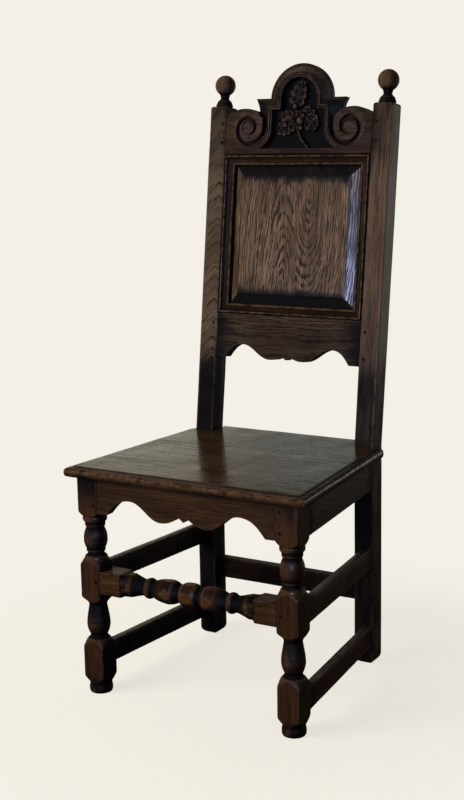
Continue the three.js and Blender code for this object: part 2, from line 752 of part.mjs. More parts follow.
// Outline of the crest: humps beside the posts, pointed ears and a round arch
function crestOutline() {
  const c = crest;
  const up = (height) => crestBottom + height;
  const reach = openingHalf - fit;
  const humpHalf = reach * c.humpShare;
  const right = new THREE.Path();
  right.moveTo(reach, up(0));
  right.lineTo(reach, up(c.postHeight));
  const humpSide = (reach - humpHalf) / 2;
  right.quadraticCurveTo(reach - humpSide, up(c.humpHeight), humpHalf, up(c.humpHeight));
  right.quadraticCurveTo(humpHalf - humpSide, up(c.humpHeight), c.earBottomReach, up(c.earBottom));
  right.quadraticCurveTo(c.earBottomReach, up(c.beadCorner), c.earReach, up(c.archCentre));
  right.lineTo(c.archRadius, up(c.archCentre));
  right.absarc(0, up(c.archCentre), c.archRadius, 0, Math.PI / 2, false);
  return mirroredShape(right.getPoints(curveSteps));
}

function mirroredShape(points) {
  const mirrored = points.slice(0, -1).reverse().map((point) => new THREE.Vector2(-point.x, point.y));
  return new THREE.Shape([...points, ...mirrored]);
}

function recessOutline() {
  const c = crest;
  const up = (height) => crestBottom + height;
  const right = new THREE.Path();
  right.moveTo(c.flareHalf, up(c.recessBottom));
  right.quadraticCurveTo(c.recessHalf, up(c.flareStart / 2), c.recessHalf, up(c.flareStart));
  right.lineTo(c.recessHalf, up(c.recessCorner));
  right.lineTo(c.recessRadius, up(c.recessCorner));
  right.lineTo(c.recessRadius, up(c.archCentre));
  right.absarc(0, up(c.archCentre), c.recessRadius, 0, Math.PI / 2, false);
  return mirroredShape(right.getPoints(curveSteps));
}

// What is cut away in front of the cove that falls from the bead to the crest's edge
function coveCutter() {
  const c = crest;
  const halves = [
    [[c.channelEndHalf, c.channelEnd], [c.channelHalf, c.channelEnd]],
    [[c.beadHalf, c.channelHeight], [c.channelHalf, c.channelHeight]],
    [[c.beadHalf, c.earBottom], [c.earBottomReach, c.earBottom]],
    [[c.beadHalf, c.beadCorner], [c.earReach, c.archCentre]],
    [[c.beadRadius, c.beadCorner], [c.archRadius, c.archCentre]],
  ];
  for (let i = 1; i <= curveSteps; i += 1) {
    const angle = Math.PI / 2 * i / curveSteps;
    const at = (radius) => [radius * Math.cos(angle), c.archCentre + radius * Math.sin(angle)];
    halves.push([at(c.beadRadius), at(c.archRadius)]);
  }
  const flip = ([out, height]) => [-out, height];
  const mirrored = halves.slice(0, -1).reverse().map(([near, far]) => [flip(near), flip(far)]);
  return lofted([...halves, ...mirrored].map(([near, far]) => {
    const at = (share) => near.map((value, i) => value + (far[i] - value) * share);
    const point = ([out, height], depth) => [out, depth, crestBottom + height];
    return [
      point(at(-coveRun), -c.coveDepth * coveRun),
      point(at(1 + coveRun), -c.coveDepth * coveRun),
      point(at(1 + coveRun), c.coveDepth * (1 + coveRun)),
    ];
  }));
}

// A groove that winds into the eye of a volute
function voluteGroove(side) {
  const c = crest;
  const rings = Array.from({ length: grooveSteps + 1 }, (unused, i) => {
    const share = i / grooveSteps;
    const turn = c.voluteStart + (c.voluteEnd - c.voluteStart) * share;
    const middle = c.voluteRadius * c.voluteShrink ** turn;
    const half = (c.grooveStartWidth + (c.grooveEndWidth - c.grooveStartWidth) * share) / 2;
    const angle = 2 * Math.PI * turn;
    return [[-1, -overrun], [-1, 0], [0, c.grooveDepth], [1, 0], [1, -overrun]].map(([across, depth]) => {
      const radius = middle + across * half;
      return [
        side * (c.voluteHalf - radius * Math.cos(angle)), depth,
        crestBottom + c.voluteHeight - radius * Math.sin(angle),
      ];
    });
  });
  return lofted(side < 0 ? rings : rings.map((ring) => ring.reverse()));
}

// A lobed leaf from its foot to its tip, widest in the middle, drawn in towards its face
function leaf([footOut, footUp, tipOut, tipUp, halfWidth]) {
  const s = spray;
  const length = Math.hypot(tipOut - footOut, tipUp - footUp);
  const [alongOut, alongUp] = [(tipOut - footOut) / length, (tipUp - footUp) / length];
  const outline = Array.from({ length: 2 * s.leafSteps }, (unused, i) => {
    const angle = Math.PI * i / s.leafSteps;
    const share = (1 - Math.cos(angle)) / 2;
    const lobe = 1 - s.lobeDepth * (1 + Math.cos(2 * Math.PI * s.lobes * share)) / 2;
    return [share * length, halfWidth * lobe * Math.sin(angle)];
  });
  const ring = (taper, depth) => outline.map(([along, across]) => {
    const drawn = length / 2 + (along - length / 2) * taper;
    return [
      footOut + alongOut * drawn - alongUp * across * taper, depth,
      crestBottom + footUp + alongUp * drawn + alongOut * across * taper,
    ];
  });
  return lofted([ring(s.leafTaper, s.leafDepth), ring(1, crest.recessDepth + fit)]);
}

function acorn([out, height]) {
  const geometry = new THREE.SphereGeometry(spray.acornRadius, spray.acornSides, spray.acornSides);
  geometry.translate(out, spray.acornDepth, crestBottom + height);
  return solidOf(geometry);
}

function stem() {
  const { stemHalf, stemDepth } = spray;
  const back = crest.recessDepth + fit;
  return lofted(stemPoints.map(([out, height]) => {
    const z = crestBottom + height;
    return [
      [out - stemHalf, back, z], [out + stemHalf, back, z],
      [out + stemHalf, stemDepth, z], [out - stemHalf, stemDepth, z],
    ];
  }));
}

function crestRail() {
  const board = plateAlongY(crestOutline(), 0, backThickness);
  const recess = plateAlongY(recessOutline(), -overrun, crest.recessDepth);
  const tenons = sides.map(([, side]) => box(...backTenonBox(side, backTenons[1])));
  const grooves = sides.map(([, side]) => voluteGroove(side));
  const carved = cutBy(joined(board, tenons), [coveCutter(), recess, panelGroove(), ...grooves]);
  const ornament = [...leaves.map(leaf), ...acorns.map(acorn), stem()];
  return cutBy(joined(carved, ornament), holes.crest_rail);
}

// The chair, standing on Z = 0 with the middle of its plan at the origin, and its leaning back
const chair = new THREE.Group();
chair.position.set(0, -middleDepth, 0);
const back = new THREE.Group();
back.position.set(0, frameDepth, bendHeight);
back.rotation.set(-rake, 0, 0);
chair.add(back);

function addPiece(group, name, solid, material) {
  const mesh = new THREE.Mesh(geometryOf(solid), material);
  mesh.name = name;
  group.add(mesh);
}

sides.forEach(([hand, side]) => {
  addPiece(chair, `front_leg_${hand}`, frontLeg(hand, side), darkOak);
  addPiece(chair, `rear_post_${hand}`, rearPost(hand, side), postOak);
  addPiece(back, `finial_${hand}`, finialBody(side), darkOak);
  sideMembers.forEach((member) => {
    addPiece(chair, `${member.name}_${hand}`, sideMember(member, hand, side), darkOak);
  });
});
rearMembers.forEach((member) => addPiece(chair, member.name, rearMember(member), darkOak));
addPiece(chair, 'front_seat_rail', frontSeatRail(), darkOak);
addPiece(chair, 'front_stretcher', frontStretcher(), darkOak);
addPiece(chair, 'seat_board', seatBoard(), seatOak);
addPiece(back, 'lower_back_rail', lowerBackRail(), postOak);
addPiece(back, 'back_panel', backPanel(), panelOak);
Object.entries(strips).forEach(([name, [start, end, place]]) => {
  addPiece(back, name, mouldingStrip(start, end, place), darkOak);
});
addPiece(back, 'crest_rail', crestRail(), darkOak);
pegs.forEach((spot) => {
  addPiece(spot.inBack ? back : chair, spot.name, solidOf(pegBody(spot, pegRadius, 0)), pegOak);
});

export default chair;
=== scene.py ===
# A joined oak side chair, dressed over its imported frame: turned legs, raked posts,
# a fielded panel, a carved crest and a worn, polished board seat.
# Lengths are millimetres while the pieces are shaped. Y = 0 is the front of the front
# legs until a piece is placed, and the back is shaped upright and then leant.
# Each point of a piece has two values, mostly from 0 to 1: how worn and pale it is, which also paints
# highlights and sheen, and how dirty and dark it is, which also paints shade.
import math

import bpy
import numpy as np
from mathutils import Matrix, Vector


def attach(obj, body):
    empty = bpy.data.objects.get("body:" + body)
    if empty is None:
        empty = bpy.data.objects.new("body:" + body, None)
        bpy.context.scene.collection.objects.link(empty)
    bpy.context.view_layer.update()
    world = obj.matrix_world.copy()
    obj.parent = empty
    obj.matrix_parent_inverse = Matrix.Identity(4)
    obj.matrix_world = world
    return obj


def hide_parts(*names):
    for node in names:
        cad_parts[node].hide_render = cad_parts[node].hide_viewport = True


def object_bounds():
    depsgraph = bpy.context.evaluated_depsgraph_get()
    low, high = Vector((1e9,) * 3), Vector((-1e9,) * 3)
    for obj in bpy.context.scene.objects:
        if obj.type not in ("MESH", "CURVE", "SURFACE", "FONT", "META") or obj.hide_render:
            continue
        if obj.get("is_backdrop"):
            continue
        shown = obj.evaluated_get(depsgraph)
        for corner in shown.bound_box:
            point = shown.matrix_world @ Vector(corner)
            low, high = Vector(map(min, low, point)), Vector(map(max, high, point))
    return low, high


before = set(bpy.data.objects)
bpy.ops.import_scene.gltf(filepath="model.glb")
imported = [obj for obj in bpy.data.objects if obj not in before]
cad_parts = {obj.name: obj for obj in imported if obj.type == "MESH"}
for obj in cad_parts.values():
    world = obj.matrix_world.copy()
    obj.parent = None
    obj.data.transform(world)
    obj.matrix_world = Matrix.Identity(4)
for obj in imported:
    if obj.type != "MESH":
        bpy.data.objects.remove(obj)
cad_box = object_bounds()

MM = 0.001
TURN = 2 * math.pi
TINY = 1e-6
HANDS = (("left", -1), ("right", 1))

# The frame of the chair
SEAT_HEIGHT = 457
SEAT_THICKNESS = 20
FRONT_WIDTH = 476
BACK_WIDTH = 412
FRAME_DEPTH = 382
LEG_SQUARE = 46
POST_WIDTH = 41
POST_DEPTH = 44
RAKE = math.radians(7.6)
POST_SLOPE = 677
FIT = 0.3
LEG_TOP = SEAT_HEIGHT - SEAT_THICKNESS - FIT

# Rails and stretchers
RAIL_THICKNESS = 22
RAIL_SETBACK = 1
SIDE_RAIL_HEIGHT = 66
REAR_RAIL_HEIGHT = 66
FRONT_RAIL_HEIGHT = 69
STRETCHER_SQUARE = 45
STRETCHER_BLOCK = 44
FRONT_STRETCHER_HEIGHT = 229.5
SIDE_STRETCHER_THICKNESS = 17.5
STRETCHER_HEIGHT = 44
REAR_STRETCHER_THICKNESS = 20
REAR_SETBACK = 5
# Members of the sides and of the rear, as [name, thickness, top, height]
SIDE_MEMBERS = [
    ("side_seat_rail", RAIL_THICKNESS, LEG_TOP, SIDE_RAIL_HEIGHT),
    ("side_stretcher_upper", SIDE_STRETCHER_THICKNESS, 252, STRETCHER_HEIGHT),
    ("side_stretcher_lower", SIDE_STRETCHER_THICKNESS, 86, STRETCHER_HEIGHT),
]
REAR_MEMBERS = [
    ("rear_seat_rail", RAIL_THICKNESS, LEG_TOP, REAR_RAIL_HEIGHT),
    ("rear_stretcher", REAR_STRETCHER_THICKNESS, 173, STRETCHER_HEIGHT),
]

# Turnings, as [radius share of half the square, length share, swell share]
CORNER_SHARE = 1.46
FOOT_HEIGHT = 42
LOWER_BLOCK_TOP = 90
MIDDLE_BLOCK = (203, 258)
TOP_BLOCK_HEIGHT = 64
FOOT_ROWS = [
    (0.92, 0, 0), (0.99, 0.08, 0), (1, 0.24, 0), (0.94, 0.42, 0),
    (0.96, 0.5, 0), (1.18, 0.66, 0), (CORNER_SHARE, 1, 0.06),
]
LOWER_ROWS = [
    (CORNER_SHARE, 0, 0), (1.2, 0.1, 0.04), (0.92, 0.185, 0.03), (0.75, 0.215, 0), (0.73, 0.255, 0),
    (0.99, 0.45, 0.06), (0.95, 0.55, 0), (0.76, 0.78, 0), (0.75, 0.8, 0), (0.8, 0.81, 0),
    (0.81, 0.835, 0), (1.04, 0.885, 0), (CORNER_SHARE, 1, 0.1),
]
UPPER_ROWS = [
    (CORNER_SHARE, 0, 0), (1.2, 0.075, 0.04), (0.97, 0.14, 0), (0.95, 0.17, 0), (0.7, 0.215, -0.05),
    (0.7, 0.24, 0), (0.8, 0.255, 0), (0.8, 0.29, 0), (0.78, 0.3, 0), (0.995, 0.45, 0.05),
    (0.99, 0.5, 0), (0.76, 0.66, 0.05), (0.76, 0.68, 0), (0.84, 0.695, 0), (0.86, 0.755, 0),
    (0.82, 0.765, 0), (0.98, 0.785, 0), (1.01, 0.86, 0.03), (0.97, 0.87, 0),
    (1.08, 0.885, 0), (CORNER_SHARE, 1, 0.06),
]
STRETCHER_ROWS = [
    (1.08, 0, 0), (1.07, 0.054, 0), (0.72, 0.142, 0.06), (0.84, 0.182, 0), (1.075, 0.311, 0.05),
    (0.99, 0.405, 0), (0.75, 0.527, 0.03), (0.7, 0.544, 0), (0.76, 0.561, 0), (0.78, 0.655, 0.13),
    (0.71, 0.689, 0), (0.71, 0.709, 0), (0.88, 0.797, 0), (1.07, 0.885, 0), (1, 0.899, 0),
    (1.07, 0.912, 0), (1.07, 0.96, 0), (1.14, 0.975, 0), (CORNER_SHARE, 1, 0.05),
]
PROFILE_STEP = 1  # along a turning
BLOCK_STEP = 4
TURNED_ANGLES = (0, 9, 18, 26, 33, 38, 41.5, 43.8)  # degrees, from a face to just before a corner

# Seat board
SEAT_FRONT = 14
SEAT_SIDE = 20.5
SEAT_REAR = 6
SEAT_HORN = 8
# The moulded edge, as [inset from the nose, drop below the top, darkening], the quirk near the top painted
# darkest as shade
SEAT_EDGE = [
    (7, 20, 0.5), (4.5, 20, 0.5), (2.6, 19.2, 0.5), (1.1, 17.4, 0.5), (0.3, 14.6, 0.5),
    (0, 11.5, 0.5), (0.1, 8.6, 0.5), (0.8, 6.2, 0.5), (2, 4.3, 0.5), (3.6, 3.1, 0.5),
    (5, 2.7, 0.5), (7.5, 2.3, 0.5), (10, 2, 0.2), (12.4, 1.8, 1), (13.6, 1.9, 1), (14.2, 1.7, 1),
    (14.8, 0.6, 0.2), (15.6, 0.1, 0.2), (16.6, 0, 0.2),
]

# Shaped lower edges: the heights of pip, cusp and arch, then where the cusp, the lobe,
# the arch and the step stand as shares of half the length
APRON = (7.5, 15.5, 33), (0.052, 0.26, 0.62, 0.895)
BACK_APRON = (1, 8, 28.5), (0.055, 0.225, 0.63, 0.865)
LOBE_ROUNDNESS = 0.42

# The back, by its slope above the seat and its depth behind the posts' faces
BACK_THICKNESS = 25
LOWER_RAIL = (158, 249)
CREST_BOTTOM = 577
MOULDING_WIDTH = 22
TONGUE_FRONT = 13
# The panel moulding, as [share of its width, depth]
MOULDING_FACE = [
    (0, 3), (0.04, 2.6), (0.06, 0.5), (0.075, -1), (0.11, -1.5), (0.17, -1.5), (0.21, -1.2),
    (0.225, 0.3), (0.26, 0.6), (0.31, 1.3), (0.38, 2.6), (0.46, 3.7), (0.55, 4.6), (0.65, 5.3),
    (0.72, 5.8), (0.75, 6.5), (0.775, 5.1), (0.82, 4.7), (0.87, 5), (0.92, 6), (0.96, 7.4), (1, 9.2),
]

# The crest, with heights above its bottom edge
ARCH_CENTRE = 114
ARCH_RADIUS = 69
BEAD_RADIUS = 50.5
RECESS_RADIUS = 41
EAR_REACH = 103
EAR_BOTTOM = (93.5, 86)
BEAD_CORNER = 98
BEAD_HALF = 68.5
RECESS_CORNER = 91
RECESS_HALF = 60.5
FLARE_START = 53
FLARE_HALF = 88
RECESS_BOTTOM = 11.5
RECESS_DEPTH = 13
COVE_DEPTH = 11
CHANNEL = [(74, 38, 83), (BEAD_HALF, 60, 80.5), (BEAD_HALF, 74, 81.5)]  # near, height, far
HUMP_SHARE = 0.752
HUMP_HEIGHT = 93.5
CREST_POST_HEIGHT = 79
CREST_GRID = 0.8
VOLUTE = (115, 55)
# The volute's groove as [turn, radius, half width, depth]
GROOVE = [
    (0.04, 38.5, 5.5, 8), (0.12, 36.5, 5.6, 8), (0.25, 33, 5.7, 8), (0.375, 27, 5.2, 7.5),
    (0.5, 22.2, 4.8, 7), (0.625, 19.8, 5.2, 7), (0.75, 18.9, 6, 7), (0.875, 18.2, 5.2, 7),
    (1, 17.6, 4.2, 6.5), (1.12, 16.6, 2.6, 5), (1.2, 15.6, 1.6, 3), (1.26, 14.8, 0.9, 0.5),
]
# The fillet, quirk and bead round the recess, as [distance out from it, depth]
BEAD_FACE = [
    (0, 1.6), (0.6, 0.9), (2.3, 0.7), (2.8, 2.4), (3.5, 2.6), (4, 0.9), (5, 0.1), (6.2, 0.1),
    (7.2, 0.9), (7.8, 2.3), (8.4, 2.3), (9, 0.6), (9.6, 0),
]

# Finials, as [radius, height above the post, swell]
FINIAL_ROWS = [
    (16.4, 0, 0), (17.3, 1.2, 0), (17.5, 3, 0.2), (17, 5, 0.2), (16.2, 5.6, 0), (15.6, 8, 0.3),
    (13.8, 12, 0.3), (8.8, 18.2, -0.9), (8.4, 19.6, 0), (9.6, 20.6, 0.2), (9.4, 22.4, 0),
    (10.5, 25, -0.3),
]
BALL_RADIUS = 21.3
BALL_HEIGHT = 44.5
BALL_STEPS = 22
FINIAL_SIDES = 56

OPENING_HALF = BACK_WIDTH / 2 - POST_WIDTH
LEG_INNER = FRONT_WIDTH / 2 - LEG_SQUARE
POST_BACK = FRAME_DEPTH + POST_DEPTH
BALL_REACH = (POST_SLOPE + BALL_HEIGHT) * math.sin(RAKE) + POST_DEPTH / 2 * math.cos(RAKE) + BALL_RADIUS
MIDDLE_DEPTH = (FRAME_DEPTH + BALL_REACH - SEAT_FRONT) / 2


def upright(points):
    """From shaping lengths to metres in the row frame."""
    return (np.asarray(points, float) - (0, MIDDLE_DEPTH, 0)) * MM


def leant(points):
    """The same for points of the back, given as across, depth and slope."""
    x, depth, slope = np.asarray(points, float).T
    y = FRAME_DEPTH + slope * math.sin(RAKE) + depth * math.cos(RAKE)
    z = SEAT_HEIGHT + slope * math.cos(RAKE) - depth * math.sin(RAKE)
    return upright(np.column_stack([x, y, z]))


def eased(low, high, value):
    share = np.clip((value - low) / (high - low), 0, 1)
    return share * share * (3 - 2 * share)


def at_least(least, share):
    return least + (1 - least) * share


def inside(span, value):
    return span[0] < value < span[1]


def stripes(places, lines):
    """The sum of soft stripes, each given as [place, half width, amount]."""
    return sum(amount * np.exp(-((places - place) / half) ** 2) for place, half, amount in lines)


def softened(values):
    """The same row with its breaks eased a little."""
    padded = np.concatenate([values[:1], values, values[-1:]])
    return (padded[:-2] + 2 * padded[1:-1] + padded[2:]) / 4


def running_mean(values, window):
    padded = np.pad(values, (window // 2, window - 1 - window // 2), "edge")
    return np.convolve(padded, np.ones(window) / window, "valid")


def seed_of(name):
    return sum((i + 1) * ord(letter) for i, letter in enumerate(name))


def waves(points, chance, count, lengths):
    """The sum of a few sines that run over the points in chance directions."""
    total = np.zeros(len(points))
    for _ in range(count):
        way = chance.normal(size=points.shape[1])
        way *= TURN / chance.uniform(*lengths) / np.linalg.norm(way)
        total += np.sin(points @ way + chance.uniform(0, TURN))
    return total


UNEVEN = 0.35  # how far hand work strays from true
WOBBLE_LENGTHS = (60, 260)
WOBBLE_WAVES = 5


def wobbled(points, name, size):
    """Points moved by a few long waves, up to about the size given."""
    chance = np.random.default_rng(seed_of(name))
    points = np.asarray(points, float)
    moved = points.copy()
    for axis in range(3):
        moved[:, axis] += size / WOBBLE_WAVES * waves(points, chance, WOBBLE_WAVES, WOBBLE_LENGTHS)
    return moved


GRAIN_SPREAD = 4000  # pieces are cut from places this far apart in the pattern
PITH_NEAR, PITH_FAR = 90, 260  # how far from the middle of a piece its rings may centre
PITHS = {  # pieces whose figure shows, with the middle of their rings off their own middle
    "back_panel": (0, 30, 0),
    "seat_board": (40, -50, 0),
    "front_seat_rail": (70, 40, 300),
    "lower_back_rail": (52, 20, 800),
    "rear_post_left": (2500, 30, 0),
}
# Fibres that run out to both sides, as [from where, how roundly they turn, how steeply]
SLANTS = {"rear_post_left": (9, 3, 0.9)}
SHARP_ANGLE = math.radians(38)


def add_piece(name, points, faces, grain, finish, place, wear_and_highlight, dirt_and_shade, uneven=UNEVEN, straight=None):
    """A mesh piece that stands for the CAD node of its name. grain is the axis of its fibres,
    and straight gives the points as they were before the piece was bent."""
    chance = np.random.default_rng(seed_of(name) + 1)
    points = wobbled(points, name, uneven)
    if place is upright:
        points[:, 2] = np.maximum(points[:, 2], 0)
    order = {"x": (1, 2, 0), "y": (0, 2, 1), "z": (0, 1, 2)}[grain]
    turn, far = chance.uniform(0, TURN), chance.uniform(PITH_NEAR, PITH_FAR)
    along = chance.uniform(-GRAIN_SPREAD, GRAIN_SPREAD)
    fibres = (points if straight is None else straight)[:, order]
    fibres = fibres - (fibres.min(axis=0) + fibres.max(axis=0)) / 2
    if name in SLANTS:
        fold, roundness, slope = SLANTS[name]
        fibres[:, 0] = np.hypot(fibres[:, 0] - fold, roundness) + slope * fibres[:, 2]
    fibres = fibres + PITHS.get(name, (far * math.cos(turn), far * math.sin(turn), along))
    mesh = bpy.data.meshes.new(name + "_wood")
    mesh.from_pydata(place(points).tolist(), [], faces)
    vectors = mesh.attributes.new("grain", "FLOAT_VECTOR", "POINT")
    vectors.data.foreach_set("vector", (fibres * MM).ravel())
    tone = np.full(len(points), chance.uniform(-1, 1))
    for key, values in (("wear_and_highlight", wear_and_highlight), ("dirt_and_shade", dirt_and_shade), ("tone", tone)):
        mesh.attributes.new(key, "FLOAT", "POINT").data.foreach_set("value", np.asarray(values, float))
    mesh.shade_smooth()
    mesh.set_sharp_from_angle(angle=SHARP_ANGLE)
    mesh.materials.append(finish)
    piece = bpy.data.objects.new(name + "_wood", mesh)
    bpy.context.collection.objects.link(piece)
    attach(piece, "root")
    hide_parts(name)


def add_rings(name, rings, wear_and_highlight_rows, dirt_and_shade_rows, grain, finish, place=upright, **more):
    """A piece whose skin runs through rings of equal counts and is closed at both ends.
    The rings turn anticlockwise as seen from the last."""
    count, last = len(rings[0]), len(rings) - 1
    faces = []
    for ring in range(last):
        for i in range(count):
            a, b = ring * count + i, ring * count + (i + 1) % count
            faces.append((a, b, b + count, a + count))
    faces.append(tuple(reversed(range(count))))
    faces.append(tuple(range(last * count, (last + 1) * count)))
    points, wear_and_highlight, dirt_and_shade = (np.concatenate(rows) for rows in (rings, wear_and_highlight_rows, dirt_and_shade_rows))
    add_piece(name, points, faces, grain, finish, place, wear_and_highlight, dirt_and_shade, **more)


ARRIS_OFFSETS = (1.2, 3.5)  # rows of vertices beside a rounded corner
ARRIS_WEAR = 0.5
GAP_DARK = 2.4  # as far as this from the panel moulding or the seat, the frame is darkened: painted shade in the joint, with some dirt
CORNER_STEPS = 4
FACE_STEPS = 4


def section(low, high, rounding):
    """A rounded rectangle anticlockwise from its low corner, with each point's wear."""
    low, high = np.array(low, float), np.array(high, float)
    corners = [low, np.array([high[0], low[1]]), high, np.array([low[0], high[1]])]
    points, wear_and_highlight = [], []
    for k, here in enumerate(corners):
        there = corners[(k + 1) % 4]
        side = np.linalg.norm(there - here)
        along = (there - here) / side
        before = (here - corners[k - 1]) / np.linalg.norm(here - corners[k - 1])
        centre = here + (along - before) * rounding
        for step in range(CORNER_STEPS + 1):
            angle = math.pi / 2 * step / CORNER_STEPS
            points.append(centre + rounding * (before * math.sin(angle) - along * math.cos(angle)))
            wear_and_highlight.append(1)
        length = side - 2 * rounding
        near = [offset for offset in ARRIS_OFFSETS if offset < length / 2]
        inner = [length * step / FACE_STEPS for step in range(1, FACE_STEPS)]
        inner = [stop for stop in inner if near[-1] < stop < length - near[-1]] if near else []
        for stop in near + inner + [length - stop for stop in reversed(near)]:
            points.append(here + along * rounding + along * stop)
            wear_and_highlight.append(max(0, 1 - min(stop, length - stop) / ARRIS_OFFSETS[-1]) * ARRIS_WEAR)
    return np.array(points), np.array(wear_and_highlight)


def end_roundings(length, step, rounding):
    """Stations along a bar and how far its section draws in at each, rounding both ends."""
    angles = [math.pi / 2 * k / CORNER_STEPS for k in range(CORNER_STEPS + 1)]
    turns = [(rounding * (1 - math.cos(angle)), rounding * (1 - math.sin(angle))) for angle in angles]
    count = max(2, round((length - 2 * rounding) / step))
    middle = [(at, 0) for at in np.linspace(rounding, length - rounding, count + 1)[1:-1]]
    return turns + middle + [(length - at, draw) for at, draw in reversed(turns)]


BAR_STEP = 14
BAR_ROUNDING = 1.6
END_ROUNDING = 0.5
# The tops of the bars are paled as a painted sheen
BAR_WEAR, TOP_SHEEN = 0.5, 0.6
# Bars darken towards their joints with legs and posts: painted shade where the parts meet
JOINT_SHADE, JOINT_REACH = 0.85, 60
REAR_DARK = 0.55
# A side member is darkened a little all over, and its inner face much more, as painted shade
SIDE_DARK, SIDE_INNER_SHADE = 0.2, 0.7
INNER_FROM = 0.8  # the share of a side member's thickness beyond which it is dark


def bar(name, low, high, grain, finish, shift, shade_and_dirt):
    """A squared bar between two corners, its fibres and its length along the same axis.
    shift moves its rings by their place along it, and stained gives how dark they are, from dirt and
    painted shade."""
    axis = "xyz".index(grain)
    others = [(axis + 1) % 3, (axis + 2) % 3]
    length = high[axis] - low[axis]
    rings, wear_and_highlight_rows, dirt_and_shade_rows = [], [], []
    for at, draw in end_roundings(length, BAR_STEP, END_ROUNDING):
        drawn = [low[k] + draw for k in others], [high[k] - draw for k in others]
        flat, wear_and_highlight = section(*drawn, BAR_ROUNDING)
        ring = np.zeros((len(flat), 3))
        ring[:, axis] = low[axis] + at
        ring[:, others] = flat
        joint = JOINT_SHADE * eased(JOINT_REACH, 0, min(at, length - at))
        dirt_and_shade_rows.append(np.maximum(shade_and_dirt(ring), joint))
        wear_and_highlight_rows.append(np.maximum(wear_and_highlight * BAR_WEAR, TOP_SHEEN * (ring[:, 2] > high[2] - BAR_ROUNDING)))
        rings.append(shift(ring))
    add_rings(name, rings, wear_and_highlight_rows, dirt_and_shade_rows, grain, finish)


def side_member(name, hand, side, thickness, top, height, finish):
    """A bar from leg to post, its rings moved in as the seat narrows."""
    def shift(ring):
        share = (ring[:, 1] - LEG_SQUARE) / (FRAME_DEPTH - LEG_SQUARE)
        face = FRONT_WIDTH / 2 - RAIL_SETBACK + share * (BACK_WIDTH - FRONT_WIDTH) / 2
        return ring + np.outer(face, (side, 0, 0))

    def shade_and_dirt(ring):
        return np.where(np.abs(ring[:, 0]) > thickness * INNER_FROM, SIDE_INNER_SHADE, SIDE_DARK)

    low = [min(0, -side * thickness), LEG_SQUARE + FIT, top - height]
    high = [max(0, -side * thickness), FRAME_DEPTH - FIT, top]
    bar(f"{name}_{hand}", low, high, "y", finish, shift, shade_and_dirt)


def rear_member(name, thickness, top, height, finish):
    back = POST_BACK - REAR_SETBACK
    reach = OPENING_HALF - FIT
    bar(
        name, [-reach, back - thickness, top - height], [reach, back, top], "x", finish,
        lambda ring: ring, lambda ring: np.full(len(ring), REAR_DARK),
    )


# Turned pieces

def profile(rows, unit, start, length, least=1):
    """Heights and radii along a turning, at an even step, with at least so many steps a row."""
    heights, radii = [start + rows[0][1] * length], [rows[0][0] * unit]
    for (r0, h0, _), (r1, h1, swell) in zip(rows, rows[1:]):
        count = max(least, round((h1 - h0) * length / PROFILE_STEP))
        for share in np.arange(1, count + 1) / count:
            heights.append(start + (h0 + (h1 - h0) * share) * length)
            radii.append((r0 + (r1 - r0) * share + swell * 4 * share * (1 - share)) * unit)
    return heights, radii


def square_angles():
    """The directions of the points round a turned square, close together at its corners."""
    eighth = [math.radians(angle) for angle in TURNED_ANGLES]
    corner = math.pi / 4
    quarter = eighth + [corner] + [2 * corner - angle for angle in reversed(eighth[1:])]
    return np.array([angle + corner * 2 * turn for turn in range(4) for angle in quarter])


def squared_radius(angles, half, rounding):
    """How far a rounded square reaches in each direction."""
    folded = np.abs((angles + math.pi / 4) % (math.pi / 2) - math.pi / 4)
    corner = (half - rounding) * math.sqrt(2)
    off = math.pi / 4 - folded
    round_part = corner * np.cos(off) + np.sqrt(np.maximum(0, rounding ** 2 - (corner * np.sin(off)) ** 2))
    return np.where(half * np.tan(folded) <= half - rounding, half / np.cos(folded), round_part)


ARRIS_ROUNDING = 2.2
SHOULDER_SOFTNESS = 1.2
CROWN_WINDOW = 9  # samples over which a turning is compared with its own mean
# The crowns of turnings are paled: worn spots and painted highlights
CROWN_WEAR_AND_GLINT, CROWN_MOST = 0.8, 0.5
EDGE_WEAR_REACH = 0.6
SHOULDER_WEAR = 0.8
# Grooves and narrow necks of turnings are darkened: painted shade, with some dirt
GROOVE_SHADE = 1.8
NECK_SHADE, NECK_FROM = 1.3, 0.95
# The squares darken towards their edges, and on the face towards the chair's middle, as painted shade
BLOCK_EDGE_SHADE = 0.6
BLOCK_EDGE_FROM = 0.45
BLOCK_INNER_SHADE, BLOCK_INNER_FROM = 0.85, 0.9
# How much darker the legs' turned parts and lower blocks are, on each side
LEG_TURNED_DARK = {-1: 0.72, 1: 0.62}
LEG_TOP_SHADE = {-1: 0.8, 1: 0.55}
LEG_LOW_DARK = {-1: 0.1, 1: 0.35}
LEG_FOOT_GRIME = 0.85
# How much darker the stretcher's turnings are, and its ends beside the blocks
STRETCHER_TURNED_DARK = 0.88
STRETCHER_END_DARK, STRETCHER_END_SPAN = 0.9, (0.88, 0.92)


